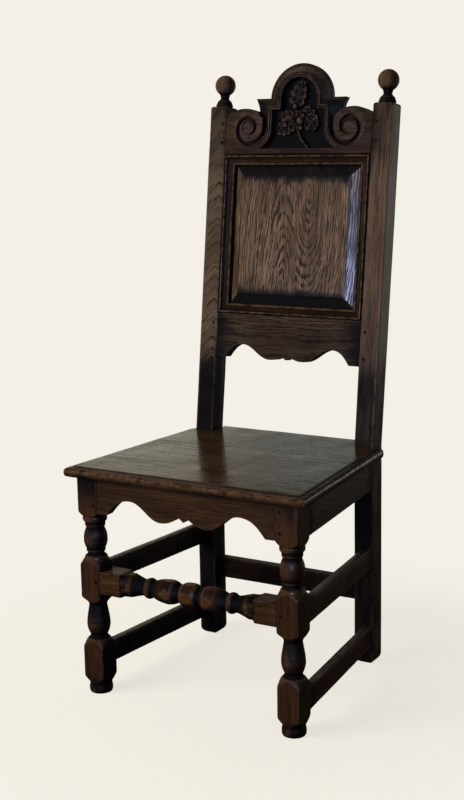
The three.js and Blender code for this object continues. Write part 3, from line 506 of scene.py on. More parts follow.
def turned_square(name, heights, radii, half, grain, finish, stand, turned_dark, shade_and_dirt, inward=0):
    """A bar that is turned where its radius is small and square where it is large. stained
    gives more darkening by the place along it, from dirt and painted shade, and inward is the side of its
    squares that is painted darkest, as shade."""
    angles = square_angles()
    square = squared_radius(angles, half, ARRIS_ROUNDING)
    radii = softened(np.array(radii))
    turned = np.minimum(radii, half)
    crown = turned - running_mean(turned, CROWN_WINDOW)
    rings, wear_and_highlight_rows, dirt_and_shade_rows = [], [], []
    for height, radius, rise in zip(heights, radii, crown):
        gap = radius - square
        beside = np.exp(-np.abs(gap) / SHOULDER_SOFTNESS)
        reach = np.minimum(radius, square) - SHOULDER_SOFTNESS / 4 * beside
        across, up = reach * np.cos(angles), reach * np.sin(angles)
        rings.append(stand(np.column_stack([across, up, np.full(len(angles), height)])))
        edge = np.exp(-np.abs(square - square.max()) / EDGE_WEAR_REACH) * (gap > 0)
        crowned = np.clip(rise * CROWN_WEAR_AND_GLINT, 0, CROWN_MOST) * (gap <= 0)
        wear_and_highlight_rows.append(np.max([edge, SHOULDER_WEAR * beside, crowned], axis=0))
        neck_dark = NECK_SHADE * (NECK_FROM - radius / half)
        dirt_and_shade = np.clip(turned_dark + neck_dark - GROOVE_SHADE * rise, 0, 1) * (gap <= 0)
        near_edge = np.minimum(np.abs(across), np.abs(up))
        near_edge = BLOCK_EDGE_SHADE * eased(BLOCK_EDGE_FROM * half, half, near_edge)
        inner = BLOCK_INNER_SHADE * (across * inward > half * BLOCK_INNER_FROM)
        dirt_and_shade = np.maximum(dirt_and_shade, np.maximum(near_edge, inner) * (gap > 0))
        dirt_and_shade_rows.append(np.maximum(dirt_and_shade, shade_and_dirt(height)))
    add_rings(name, rings, wear_and_highlight_rows, dirt_and_shade_rows, grain, finish)


def rows_of_block(low, high, unit):
    count = max(1, round((high - low) / BLOCK_STEP))
    return list(np.linspace(low, high, count + 1)), [CORNER_SHARE * unit] * (count + 1)


def front_leg(hand, side, finish):
    half = LEG_SQUARE / 2
    block_top = LEG_TOP - TOP_BLOCK_HEIGHT
    parts = [
        profile(FOOT_ROWS, half, 0, FOOT_HEIGHT), rows_of_block(FOOT_HEIGHT, LOWER_BLOCK_TOP, half),
        profile(LOWER_ROWS, half, LOWER_BLOCK_TOP, MIDDLE_BLOCK[0] - LOWER_BLOCK_TOP),
        rows_of_block(*MIDDLE_BLOCK, half),
        profile(UPPER_ROWS, half, MIDDLE_BLOCK[1], block_top - MIDDLE_BLOCK[1]),
        rows_of_block(block_top, LEG_TOP, half),
    ]
    heights, radii = ([value for part in parts for value in part[k]] for k in (0, 1))
    kept = [0] + [k for k in range(1, len(heights)) if heights[k] - heights[k - 1] > FIT / 2]
    middle = side * (FRONT_WIDTH / 2 - half)

    # The top blocks under the seat are painted dark as shade, more on the left leg
    def shade_and_dirt(height):
        return max(LEG_TOP_SHADE[side] * eased(block_top - half, LEG_TOP, height),
                   LEG_LOW_DARK[side] * eased(MIDDLE_BLOCK[0], LOWER_BLOCK_TOP, height),
                   LEG_FOOT_GRIME * eased(FOOT_HEIGHT, FOOT_HEIGHT / 2, height))

    turned_square(
        "front_leg_" + hand, [heights[k] for k in kept], [radii[k] for k in kept], half, "z", finish,
        lambda points: points + (middle, half, 0), LEG_TURNED_DARK[side], shade_and_dirt, -side,
    )


def front_stretcher(finish):
    half = STRETCHER_SQUARE / 2
    inner = LEG_INNER - STRETCHER_BLOCK
    heights, radii = profile(STRETCHER_ROWS, half, 0, inner)
    block = rows_of_block(inner, LEG_INNER - FIT, half)
    heights, radii = heights + block[0][1:], radii + block[1][1:]

    def shade_and_dirt(along):
        share = abs(along) / inner
        return STRETCHER_END_DARK * eased(*STRETCHER_END_SPAN, share) * (share < 1)

    turned_square(
        "front_stretcher", [-h for h in reversed(heights[1:])] + heights,
        list(reversed(radii[1:])) + radii, half, "x", finish,
        lambda points: points[:, [2, 0, 1]] + (0, LEG_SQUARE / 2, FRONT_STRETCHER_HEIGHT),
        STRETCHER_TURNED_DARK, shade_and_dirt,
    )


FINIAL_WINDOW = 7
FINIAL_UNEVEN = 0.2
FINIAL_CROWN_MOST = 0.6
# The ball is painted darker over its lower half, and the neck and base under it darker still, as shade
BALL_SHADE = 0.7
FINIAL_NECK_SHADE, NECK_SPAN = 0.75, (30, 23)


def finial(hand, side, finish):
    heights, radii = profile(FINIAL_ROWS, 1, 0, 1, least=2)
    start = math.asin((BALL_HEIGHT - heights[-1]) / BALL_RADIUS)
    for k in range(1, BALL_STEPS):
        angle = -start + (start + math.pi / 2) * k / BALL_STEPS
        heights.append(BALL_HEIGHT + BALL_RADIUS * math.sin(angle))
        radii.append(BALL_RADIUS * math.cos(angle))
    angles = np.arange(FINIAL_SIDES) * TURN / FINIAL_SIDES
    centre = (side * (OPENING_HALF + POST_WIDTH / 2), POST_DEPTH / 2, POST_SLOPE + FIT)
    crown = np.array(radii) - running_mean(np.array(radii), FINIAL_WINDOW)
    rings, wear_and_highlight_rows, dirt_and_shade_rows = [], [], []
    for radius, height, rise in zip(radii, heights, crown):
        circle = [radius * np.cos(angles), radius * np.sin(angles), np.full(FINIAL_SIDES, height)]
        rings.append(np.column_stack(circle) + centre)
        wear_and_highlight_rows.append(np.full(FINIAL_SIDES, np.clip(rise, 0, FINIAL_CROWN_MOST)))
        dark = BALL_SHADE * eased(BALL_HEIGHT, BALL_HEIGHT - BALL_RADIUS, height)
        dark += FINIAL_NECK_SHADE * eased(*NECK_SPAN, height)
        dirt_and_shade_rows.append(np.full(FINIAL_SIDES, np.clip(dark - rise, 0, 1)))
    add_rings("finial_" + hand, rings, wear_and_highlight_rows, dirt_and_shade_rows, "z", finish, leant, uneven=FINIAL_UNEVEN)


# Posts and shaped rails

POST_STEP = 13
POST_ROUNDING = 2.4
POST_TOP_ROUNDING = 5
POST_FOOT_ROUNDING = 14
BEND_POWER = 8  # how soon the rings square up away from the mitre
# Posts are painted dark below the seat and just above it, as shade, more on the left; they also darken
# towards their tops
POST_LOW_SHADE, POST_LOW_SPAN = {-1: 0.93, 1: 0.8}, (230, 110)
POST_TOP_DARK, POST_TOP_SPAN = 0.5, (500, 600)
INNER_DARK, INNER_REACH, INNER_SPAN = 0.4, 9, (100, 240)
OUTER_SHARE = 0.75  # of the darkening of a post's front, on its outer side and its back
QUIET_WEAR = 0.35  # the share of wear where a post is seldom touched


def rear_post(hand, side, finish):
    """Upright to the seat and leaning above it, with one mitred ring at the bend."""
    left = min(side * BACK_WIDTH / 2, side * OPENING_HALF)
    drop = POST_DEPTH * math.tan(RAKE / 2)
    lower = end_roundings(SEAT_HEIGHT, POST_STEP, POST_FOOT_ROUNDING)[:-(CORNER_STEPS + 1)]
    upper = end_roundings(POST_SLOPE, POST_STEP, POST_TOP_ROUNDING)[CORNER_STEPS + 1:]
    lean = np.array(Matrix.Rotation(-RAKE, 3, "X")).T
    size = np.array([POST_WIDTH, POST_DEPTH])
    middle = np.array([left, 0]) + size / 2
    whole, arris = section((left, 0), (left + POST_WIDTH, POST_DEPTH), POST_ROUNDING)
    from_inside = np.abs(whole[:, 0]) - OPENING_HALF
    outer = (from_inside > POST_WIDTH - POST_ROUNDING) | (whole[:, 1] > POST_DEPTH / 2)
    rings, wear_and_highlight_rows, dirt_and_shade_rows, straights = [], [], [], []
    stations = [(False, *station) for station in lower] + [(True, 0, 0)]
    for raked, at, draw in stations + [(True, *station) for station in upper]:
        flat = middle + (whole - middle) * (1 - 2 * draw / size)
        across, depth = flat.T
        if raked:
            slope = at + (1 - at / POST_SLOPE) ** BEND_POWER * drop * depth / POST_DEPTH
            ring = np.column_stack([across, depth, slope]) @ lean + (0, FRAME_DEPTH, SEAT_HEIGHT)
        else:
            height = at - (at / SEAT_HEIGHT) ** BEND_POWER * drop * depth / POST_DEPTH
            ring = np.column_stack([across, FRAME_DEPTH + depth, height])
        along = at if raked else at - SEAT_HEIGHT
        dirt_and_shade = POST_LOW_SHADE[side] * eased(*POST_LOW_SPAN, along)
        dirt_and_shade = dirt_and_shade + POST_TOP_DARK * eased(*POST_TOP_SPAN, along)
        dirt_and_shade = dirt_and_shade + INNER_DARK * eased(INNER_REACH, 0, from_inside) * eased(*INNER_SPAN, along)
        # Beside the panel moulding the post is painted dark: shade in the joint, with some dirt
        framing = eased(LOWER_RAIL[1], LOWER_RAIL[1] + GAP_DARK, along)
        framing = framing * eased(CREST_BOTTOM, CREST_BOTTOM - GAP_DARK, along)
        dirt_and_shade = np.clip(dirt_and_shade + eased(GAP_DARK, GAP_DARK / 2, from_inside) * framing, 0, 1)
        quiet = (from_inside < POST_WIDTH / 2) | (along < 0)
        rings.append(ring)
        wear_and_highlight_rows.append(arris * np.where(quiet, QUIET_WEAR, 1))
        dirt_and_shade_rows.append(dirt_and_shade * np.where(outer, OUTER_SHARE, 1))
        straights.append(np.column_stack([flat, np.full(len(flat), along)]))
    straight = np.concatenate(straights)
    add_rings("rear_post_" + hand, rings, wear_and_highlight_rows, dirt_and_shade_rows, "z", finish, straight=straight)


def bezier(points, steps):
    share = np.linspace(0, 1, steps + 1)[:, None]
    points = [np.array(point, float) for point in points]
    while len(points) > 1:
        points = [a + (b - a) * share for a, b in zip(points, points[1:])]
    return list(points[0])


EDGE_STEPS = 40
SHAPED_STEP = 1.4
SHAPED_ROUNDING = 1.4
ENDS_FROM = 0.6  # the share of the half length beyond which a shaped rail darkens


def shaped_edge(sizes, bottom, end):
    """Half of a shaped lower edge from the middle to its end, as across and height."""
    pip, cusp, arch = (bottom + rise for rise in sizes[0])
    cusp_half, lobe_half, arch_half, step_half = (end * share for share in sizes[1])
    lobe_reach = (arch_half - lobe_half) * LOBE_ROUNDNESS
    step_reach = (step_half - arch_half) / 2
    low_lobe = [(lobe_half, bottom), (lobe_half + lobe_reach, bottom)]
    step_foot = [(step_half - step_reach / 2, (bottom + arch) / 2), (step_half, bottom)]
    curves = [
        [(cusp_half, cusp), ((cusp_half + lobe_half) / 2, bottom), (lobe_half, bottom)],
        low_lobe + [(arch_half - lobe_reach, arch), (arch_half, arch)],
        [(arch_half, arch), (arch_half + step_reach, arch)] + step_foot,
    ]
    points = [(0, pip), (cusp_half, cusp)]
    for curve in curves:
        points += bezier(curve, EDGE_STEPS)[1:]
    return np.array(points + [(end, bottom)])


def shaped_rail(name, sizes, bottom, top, end, front, thickness, finish, place, ends_dark):
    """A board along X whose lower edge is shaped, darker towards its ends."""
    edge = shaped_edge(sizes, bottom, end)
    rings, wear_and_highlight_rows, dirt_and_shade_rows = [], [], []
    for x in np.linspace(-end, end, round(2 * end / SHAPED_STEP) + 1):
        low = np.interp(abs(x), *edge.T)
        flat, wear_and_highlight = section((front, low), (front + thickness, top), SHAPED_ROUNDING)
        rings.append(np.column_stack([np.full(len(flat), x), flat]))
        wear_and_highlight_rows.append(wear_and_highlight)
        # Its top edge is painted dark: shade under the seat on the front rail and beside the moulding on
        # the back rail, with some dirt
        at_top = eased(top - GAP_DARK, top - GAP_DARK / 2, flat[:, 1])
        dirt_and_shade_rows.append(np.maximum(at_top, ends_dark * eased(end * ENDS_FROM, end, abs(x))))
    add_rings(name, rings, wear_and_highlight_rows, dirt_and_shade_rows, "x", finish, place)


# Seat board

SEAT_CORNER = 3.5
SEAT_STEPS = {"front": 22, "side": 36, "horn": 5, "notch": 3, "cheek": 8, "back": 18}
SEAT_SHRINKS = (0.985, 0.96, 0.92, 0.86, 0.78, 0.68, 0.56, 0.44, 0.32, 0.2, 0.08)
NOSE_WEAR, NOSE_DROP, NOSE_REACH = 1.6, 8, 5  # the most wear, how low, and how fast it fades
SIDE_SHARE = 0.12  # of the wear of the front edge, on the others
# Where sitters have rubbed the polish dull, and the front corner, darkened and dulled as painted shade
# where its sheen is dimmer
SAT_MIDDLE, SAT_REACH, SAT_WEAR = (60, 110, SEAT_HEIGHT), (150, 210), 0.3
SAT_FULL = 0.3
SAT_CORNER, CORNER_REACH, SAT_SHADE = (210, -10, SEAT_HEIGHT), 180, 0.35


def seat_outline(inset):
    """The board's outline drawn in from its nose, cut round the posts."""
    front, back = inset - SEAT_FRONT, POST_BACK + SEAT_REAR
    slant = (FRONT_WIDTH - BACK_WIDTH) / 2 / FRAME_DEPTH
    notch_in, notch_out = OPENING_HALF - FIT, BACK_WIDTH / 2 + FIT
    notch_front, horn_end = FRAME_DEPTH - FIT, FRAME_DEPTH + SEAT_HORN
    front_half, horn_half = (FRONT_WIDTH / 2 + SEAT_SIDE - inset - slant * y for y in (front, horn_end))
    # Where each stretch of the right half starts, up to the middle of the back
    stops = [
        ("front", (0, front)), ("side", (front_half, front)), ("horn", (horn_half, horn_end)),
        ("notch", (notch_out, horn_end)), ("cheek", (notch_out, notch_front)),
        ("notch", (notch_in, notch_front)), ("back", (notch_in, back)), ("", (0, back)),
    ]
    points = []
    for (key, start), (_, end) in zip(stops, stops[1:]):
        start, end = np.array(start, float), np.array(end, float)
        points += [start + (end - start) * k / SEAT_STEPS[key] for k in range(SEAT_STEPS[key])]
    from_corner = np.linalg.norm(np.array(points) - stops[1][1], axis=1)
    pull = np.maximum(0, SEAT_CORNER - from_corner) * (1 - 1 / math.sqrt(2))
    right = np.vstack([points + np.outer(pull, (-1, 1)), (0, back)])
    return np.vstack([right, right[-2:0:-1] * (-1, 1)])


def seat_board(finish):
    rings, wear_and_highlight_rows, dirt_and_shade_rows = [], [], []
    for inset, drop, dirt_and_shade in SEAT_EDGE:
        flat = seat_outline(inset)
        rings.append(np.column_stack([flat, np.full(len(flat), SEAT_HEIGHT - drop)]))
        at_front = flat[:, 1] < inset - SEAT_FRONT + SEAT_CORNER
        worn = max(0, NOSE_WEAR - abs(drop - NOSE_DROP) / NOSE_REACH)
        wear_and_highlight_rows.append(np.where(at_front, worn, worn * SIDE_SHARE))
        dirt_and_shade_rows.append(np.full(len(flat), dirt_and_shade))
    top = rings[-1]
    centre = np.array([0, FRAME_DEPTH / 2, SEAT_HEIGHT])
    for shrink in SEAT_SHRINKS:
        ring = centre + (top - centre) * shrink
        rings.append(ring)
        rubbed = np.linalg.norm((ring - SAT_MIDDLE)[:, :2] / SAT_REACH, axis=1)
        from_corner = np.linalg.norm((ring - SAT_CORNER)[:, :2], axis=1)
        wear_and_highlight_rows.append(SAT_WEAR * eased(1, SAT_FULL, rubbed))
        dirt_and_shade_rows.append(SAT_SHADE * eased(CORNER_REACH, 0, from_corner))
    add_rings("seat_board", rings, wear_and_highlight_rows, dirt_and_shade_rows, "x", finish)


# Panel and its moulding

PANEL_REACH = 7
# Places of the points along each side of the panel, close together at the mitres
PANEL_SHARES = (0, 0.003, 0.03, 0.09, 0.17, 0.26, 0.36, 0.45, 0.55, 0.64, 0.74, 0.83, 0.91, 0.97, 0.997)
# Rings of the panel, as [inset from the tongue's edge, depth]
PANEL_RINGS = [
    (0, 19), (0, 13), (29, 13), (29.6, 12.7), (33, 11.5), (40, 8.9), (46, 6.7), (48.4, 5.7),
    (49, 5.3), (49.2, 4.6), (49.6, 4.15), (50.4, 4), (54, 4), (60, 4), (68, 4), (78, 4),
    (92, 4), (108, 4), (130, 4),
]
# Its bottom, right, top and left, as [darkening of the bevel, darkening of the step, paling of the edge].
# The top and bottom bevels are end grain that takes more stain; the step is painted shade and the edge a
# painted highlight with some wear
PANEL_SIDES = [(0.95, 1, 0), (0.4, 0, 0.5), (0.9, 1, 0), (0.33, 0.7, 0.5)]
FIELD_INSET = 50
STEP_INSETS, EDGE_INSETS, HIDDEN_DEPTHS = (48.3, 49.7), (49, 51), (12, 14)
PANEL_BACK_GRIME = 0.4
# Darkening at the ends of the field, as [amount, reach]
FIELD_END_DARKENING = [(0.9, 26), (0.22, 90)]


def back_panel(finish):
    rings, wear_and_highlight_rows, dirt_and_shade_rows = [], [], []
    middle = (LOWER_RAIL[1] + CREST_BOTTOM) / 2
    field_half = (CREST_BOTTOM - LOWER_RAIL[1]) / 2 + PANEL_REACH - FIELD_INSET
    count = len(PANEL_SHARES)
    bevel, step, edge = np.repeat(np.array(PANEL_SIDES), count, axis=0).T
    for inset, depth in PANEL_RINGS:
        half = OPENING_HALF + PANEL_REACH - inset
        low, high = LOWER_RAIL[1] - PANEL_REACH + inset, CREST_BOTTOM + PANEL_REACH - inset
        corners = np.array([(-half, low), (half, low), (half, high), (-half, high)])
        starts = np.repeat(corners, count, axis=0)
        ends = np.roll(starts, -count, axis=0)
        across, slope = (starts + (ends - starts) * np.tile(PANEL_SHARES, 4)[:, None]).T
        rings.append(np.column_stack([across, np.full(len(across), depth), slope]))
        from_edge = field_half - np.abs(slope - middle)
        stain = np.max([amount * eased(reach, 0, from_edge) for amount, reach in FIELD_END_DARKENING], axis=0)
        dirt_and_shade = bevel if inset < FIELD_INSET else stain
        if inside(STEP_INSETS, inset):
            dirt_and_shade = np.maximum(dirt_and_shade, step)
        # Where the panel runs into the moulding's groove it is painted black, as the shade there
        if inside(HIDDEN_DEPTHS, depth):
            dirt_and_shade = np.ones(len(across))
        elif depth > HIDDEN_DEPTHS[1]:
            dirt_and_shade = np.full(len(across), PANEL_BACK_GRIME)
        wear_and_highlight_rows.append(edge * inside(EDGE_INSETS, inset))
        dirt_and_shade_rows.append(dirt_and_shade)
    add_rings("back_panel", rings, wear_and_highlight_rows, dirt_and_shade_rows, "z", finish, leant)


MOULDING_STEP = 16
MOULDING_BASE_DARK = 0.3
# Pale lines along the moulding, painted highlights with some wear, and dark lines, painted shade in its
# joint and hollows with some dirt, as [place as a share of its width, half width, amount]
MOULDING_HIGHLIGHTS = [(0.17, 0.07, 1), (0.83, 0.07, 1.1)]
MOULDING_SHADE_LINES = [(0, 0.05, 1), (0.3, 0.06, 0.5), (0.72, 0.03, 0.5)]
MOULDING_FINE = 3  # steps from one given point of the moulding's face to the next
# Each strip's grain, its start and end, and how its points are placed from along, across and depth
STRIPS = {
    "bottom": ("x", -OPENING_HALF, OPENING_HALF, lambda a, c, d: (a, d, LOWER_RAIL[1] + c)),
    "top": ("x", -OPENING_HALF, OPENING_HALF, lambda a, c, d: (-a, d, CREST_BOTTOM - c)),
    "left": ("z", -CREST_BOTTOM, -LOWER_RAIL[1], lambda a, c, d: (c - OPENING_HALF, d, -a)),
    "right": ("z", LOWER_RAIL[1], CREST_BOTTOM, lambda a, c, d: (OPENING_HALF - c, d, a)),
}


def moulding(name, finish):
    """A strip along one side of the panel, mitred at both ends."""
    grain, start, end, at = STRIPS[name]
    shares, depths = np.array(MOULDING_FACE).T
    order = np.linspace(0, len(shares) - 1, (len(shares) - 1) * MOULDING_FINE + 1)
    face_across = FIT + np.interp(order, range(len(shares)), shares) * (MOULDING_WIDTH - FIT)
    face_depth = softened(np.interp(order, range(len(depths)), depths))
    back = TONGUE_FRONT - FIT
    across = np.concatenate([[FIT, MOULDING_WIDTH], face_across[::-1]])
    depth = np.concatenate([[back, back], face_depth[::-1]])
    wear_and_highlight = stripes(across / MOULDING_WIDTH, MOULDING_HIGHLIGHTS) * (depth <= MOULDING_FACE[-1][1])
    dirt_and_shade = np.clip(MOULDING_BASE_DARK + stripes(across / MOULDING_WIDTH, MOULDING_SHADE_LINES), 0, 1)
    mitre = across + FIT * math.sqrt(0.5)
    low, high = start + mitre, end - mitre
    count = round((end - start) / MOULDING_STEP)
    rings = [np.column_stack(at(low + (high - low) * k / count, across, depth)) for k in range(count + 1)]
    wear_and_highlight_rows, dirt_and_shade_rows = [wear_and_highlight] * len(rings), [dirt_and_shade] * len(rings)
    add_rings("panel_moulding_" + name, rings, wear_and_highlight_rows, dirt_and_shade_rows, grain, finish, leant)


# Crest

SIDE_CURVE_STEPS, EAR_STEPS, FLARE_STEPS, ARC_STEPS = 16, 12, 20, 30


def mirrored_line(points):
    """A line given on the right and its mirror image, from the left end to the right end reversed."""
    return np.array(list(points) + [(-x, h) for x, h in reversed(points) if x > FIT / 2], float)


def arc(radius):
    angles = [math.pi / 2 * k / ARC_STEPS for k in range(ARC_STEPS + 1)]
    return [(radius * math.cos(angle), ARCH_CENTRE + radius * math.sin(angle)) for angle in angles]


def crest_outline():
    reach = OPENING_HALF - FIT
    hump = reach * HUMP_SHARE
    side = (reach - hump) / 2
    shoulder = [(reach, CREST_POST_HEIGHT), (reach - side, HUMP_HEIGHT), (hump, HUMP_HEIGHT)]
    dip = [(hump, HUMP_HEIGHT), (hump - side, HUMP_HEIGHT), EAR_BOTTOM]
    ear = [EAR_BOTTOM, (EAR_BOTTOM[0], BEAD_CORNER), (EAR_REACH, ARCH_CENTRE)]
    right = [(reach, 0)] + bezier(shoulder, SIDE_CURVE_STEPS)
    right += bezier(dip, SIDE_CURVE_STEPS)[1:] + bezier(ear, EAR_STEPS)[1:]
    return mirrored_line(right + arc(ARCH_RADIUS))


def recess_line():
    flare = [(FLARE_HALF, RECESS_BOTTOM), (RECESS_HALF, FLARE_START / 2), (RECESS_HALF, FLARE_START)]
    right = bezier(flare, FLARE_STEPS) + [(RECESS_HALF, RECESS_CORNER), (RECESS_RADIUS, RECESS_CORNER)]
    return mirrored_line(right + arc(RECESS_RADIUS))


def cove_lines():
    near = [(x, h) for x, h, _ in CHANNEL] + [(BEAD_HALF, BEAD_CORNER), (BEAD_RADIUS, BEAD_CORNER)]
    far = [(x, h) for _, h, x in CHANNEL] + [EAR_BOTTOM, (EAR_REACH, ARCH_CENTRE)]
    return mirrored_line(near + arc(BEAD_RADIUS)), mirrored_line(far + arc(ARCH_RADIUS))


def nearest_on(points, line, closed=False):
    """The distance from each point to a line, and the nearest place on it."""
    ends = np.vstack([line, line[:1]]) if closed else line
    best = np.full(len(points), np.inf)
    nearest = np.zeros((len(points), 2))
    for start, end in zip(ends[:-1], ends[1:]):
        along = end - start
        length = along @ along
        share = np.clip((points - start) @ along / length, 0, 1) if length > 0 else np.zeros(len(points))
        spot = start + share[:, None] * along
        gap = np.linalg.norm(points - spot, axis=1)
        closer = gap < best
        best[closer] = gap[closer]
        nearest[closer] = spot[closer]
    return best, nearest


def distance_to(points, line, closed=False):
    return nearest_on(points, line, closed)[0]


def within(points, line):
    """Whether each point lies inside a closed line."""
    x, y = points.T
    found = np.zeros(len(points), bool)
    for (x0, y0), (x1, y1) in zip(line, np.roll(line, -1, axis=0)):
        if y0 != y1:
            found ^= ((y0 > y) != (y1 > y)) & (x < (x1 - x0) * (y - y0) / (y1 - y0) + x0)
    return found


# Leaves as [foot across, foot height, tip across, tip height, half width, depth, lobes a side]
LEAVES = [
    (-10, 77, -47, 81, 11, 5.4, 3), (-8, 68, -52, 45, 19, 4, 4), (-2, 87, 42, 51, 24, 3.8, 4),
    (-9, 92, 6, 150, 19, 3.6, 4), (4, 89, 37, 86, 4.5, 1.8, 2),
]
LOBE_SHARE = 0.42
LOBE_LEAN = 0.12
LOBE_POWER = 0.5
LEAF_TIP_POWER, LEAF_SIDE_POWER = 0.75, 0.55  # how soon a leaf widens and how full it is
LEAF_BOW = 0.05
LEAF_DISH, DISH_FLOOR = 4.2, 0.35
LEAF_DROOP = 2
LEAF_ROLL, ROLL_FROM = 1.6, 0.92
RIM_SHARE, RIM_WIDTH, RIM_FLOOR = 0.84, 0.16, 0.4  # the painted highlight along the rim, as shares of its half width
# The dish of a leaf is painted dark as shade; its ribs and vein are painted pale as highlights
LEAF_SHADE = 0.95
RIB_RISE, RIB_SHARPNESS, RIB_SPAN, RIB_HIGHLIGHT = 1.8, 14, (0.15, 0.4), 0.7
VEIN_HALF = 1.3
VEIN_RISE, VEIN_HIGHLIGHT = 1.6, 0.5
# Acorns as [across, height, radius, depth of the top]
ACORNS = [(3, 67, 8, 0.8), (-9, 96, 5, 1.6), (10, 77, 4.2, 1.2), (5, 53, 5, 2.4), (-31, 60, 5, 3)]
ACORN_STRETCH = 1.15
ACORN_EDGE, MOAT_EDGE, MOAT_DEPTH = 0.96, 1.7, 2.2
CUP_RISE, CUP_FROM = 0.9, 0.15
PIT_DEPTH, PIT_PITCH = 0.35, 2.2
NUT_SHADE = 0.5
STEM = [(-6, 88), (-6, 66), (-3, 54), (2, 41), (8, 29), (18, 19), (22, 14)]
STEM_HALF = 2.4
STEM_TOP = 4.2
STEM_WEAR = 0.45


def leaf_look(points, leaf):
    """Depth of one carved oak leaf, dished between its vein and its lobed rim, with painted highlights on
    its rim, ribs and vein and painted shade in its dish.
    The depth is infinite outside it."""
    foot, tip = np.array(leaf[:2], float), np.array(leaf[2:4], float)
    half, top, lobes = leaf[4:]
    length = np.linalg.norm(tip - foot)
    way = (tip - foot) / length
    along = (points - foot) @ way / length
    across = (points - foot) @ np.array([-way[1], way[0]])
    held = np.clip(along, 0, 1)
    bow = across - half * LEAF_BOW * np.sin(math.pi * held)
    lean = along - LOBE_LEAN * np.abs(bow) / half
    lobe = np.abs(np.sin(math.pi * lobes * np.clip(lean, 0, 1))) ** LOBE_POWER
    reach = half * np.sin(math.pi * held ** LEAF_TIP_POWER) ** LEAF_SIDE_POWER
    share = np.abs(bow) / (reach * at_least(1 - LOBE_SHARE, lobe) + TINY)
    hollow = np.sin(math.pi * np.clip(share, 0, 1))
    vein = np.exp(-(bow / VEIN_HALF) ** 2) * (1 - held)
    rib = lobe ** RIB_SHARPNESS * eased(*RIB_SPAN, share)
    depth = top + LEAF_DISH * hollow * at_least(DISH_FLOOR, lobe) + LEAF_DROOP * held ** 2
    depth = depth - VEIN_RISE * vein + LEAF_ROLL * eased(ROLL_FROM, 1, share) - RIB_RISE * rib
    rim = stripes(share, [(RIM_SHARE, RIM_WIDTH, at_least(RIM_FLOOR, lobe))])
    rim = np.maximum(rim, RIB_HIGHLIGHT * rib)
    wear_and_highlight = np.maximum(rim, VEIN_HIGHLIGHT * vein)
    dirt_and_shade = LEAF_SHADE * hollow * (1 - rim)
    return np.where((share < 1) & (along > 0) & (along < 1), depth, np.inf), wear_and_highlight, dirt_and_shade


def spray_look(points):
    """Depth of the leaves, the acorns and their stem, with their painted highlights and painted shade."""
    gap = distance_to(points, np.array(STEM, float))
    round_part = np.sqrt(np.maximum(0, STEM_HALF ** 2 - gap ** 2))
    depth = np.where(gap < STEM_HALF, STEM_TOP + STEM_HALF - round_part, np.inf)
    wear_and_highlight, dirt_and_shade = np.full(len(points), STEM_WEAR), np.zeros(len(points))
    for leaf in LEAVES:
        look = leaf_look(points, leaf)
        above = look[0] < depth
        depth, wear_and_highlight, dirt_and_shade = (np.where(above, *pair) for pair in zip(look, (depth, wear_and_highlight, dirt_and_shade)))
    for across, height, radius, top in ACORNS:
        x, h = points[:, 0] - across, points[:, 1] - height
        ball = (x / radius) ** 2 + (h / (radius * ACORN_STRETCH)) ** 2
        nut = top + radius * (1 - np.sqrt(np.maximum(0, 1 - ball)))
        pits = PIT_DEPTH * np.sin(x * PIT_PITCH) * np.sin(h * PIT_PITCH)
        nut = np.where(h > radius * CUP_FROM, nut - CUP_RISE + pits, nut)
        on_nut, moat = ball < ACORN_EDGE, (ball >= ACORN_EDGE) & (ball < MOAT_EDGE)
        depth = np.where(on_nut, np.minimum(depth, nut), depth + moat * MOAT_DEPTH)
        # An acorn is painted pale at its middle as a highlight and darker towards its edge as shade, and
        # its moat is painted dark as shade
        wear_and_highlight = np.where(on_nut, 1 - ball, wear_and_highlight * ~moat)
        dirt_and_shade = np.where(on_nut, NUT_SHADE * ball, np.maximum(dirt_and_shade, moat))
    return depth, wear_and_highlight, dirt_and_shade


CUT_POWER = 1.2
EYE_RADIUS = 13
EYE_DROP, EYE_POWER = 1.6, 4
EYE_PIT, EYE_PIT_RADIUS = 0.6, 2.5


def groove_depth(points):
    """Depth of the volutes' grooves and of their domed eyes."""
    turns, radii, halves, depths = np.array(GROOVE).T
    across, up = VOLUTE[0] - np.abs(points[:, 0]), points[:, 1] - VOLUTE[1]
    radius = np.hypot(across, up)
    base = (np.arctan2(-up, across) / TURN) % 1
    depth = np.zeros(len(points))
    for turn in (base - 1, base, base + 1):
        share = np.abs(radius - np.interp(turn, turns, radii)) / np.interp(turn, turns, halves)
        cut = np.interp(turn, turns, depths) * np.cos(math.pi / 2 * np.clip(share, 0, 1)) ** CUT_POWER
        depth = np.maximum(depth, np.where((turn >= turns[0]) & (turn <= turns[-1]), cut, 0))
    eye = EYE_DROP * (radius / EYE_RADIUS) ** EYE_POWER + EYE_PIT
    eye = eye - stripes(radius, [(0, EYE_PIT_RADIUS, EYE_PIT)])
    return np.where(radius < EYE_RADIUS, np.maximum(depth, eye), depth)


EDGE_REACH = 0.02  # a point this near the outline lies on it
GROUND_SEED = 7
GROUND_ROUGHNESS = 0.04
GROUND_WAVES = 14
GROUND_LENGTHS = (7, 20)
WALL_RUN = 1.4  # across a wall of the recess, from its top to its foot
COVE_TOP_SHARE, COVE_POWER = 0.1, 1.1
BAND_RISE = (-1, 3)  # heights from the recess's bottom over which the band fades in
GROOVE_SPAN, BAND_SPAN = (7.4, 9.4), (6.6, 9.2)  # distances at which the face takes over
GROUND_STAIN_AND_SHADE = (3, 9)  # depths between which the ground darkens: dark stain and painted shade
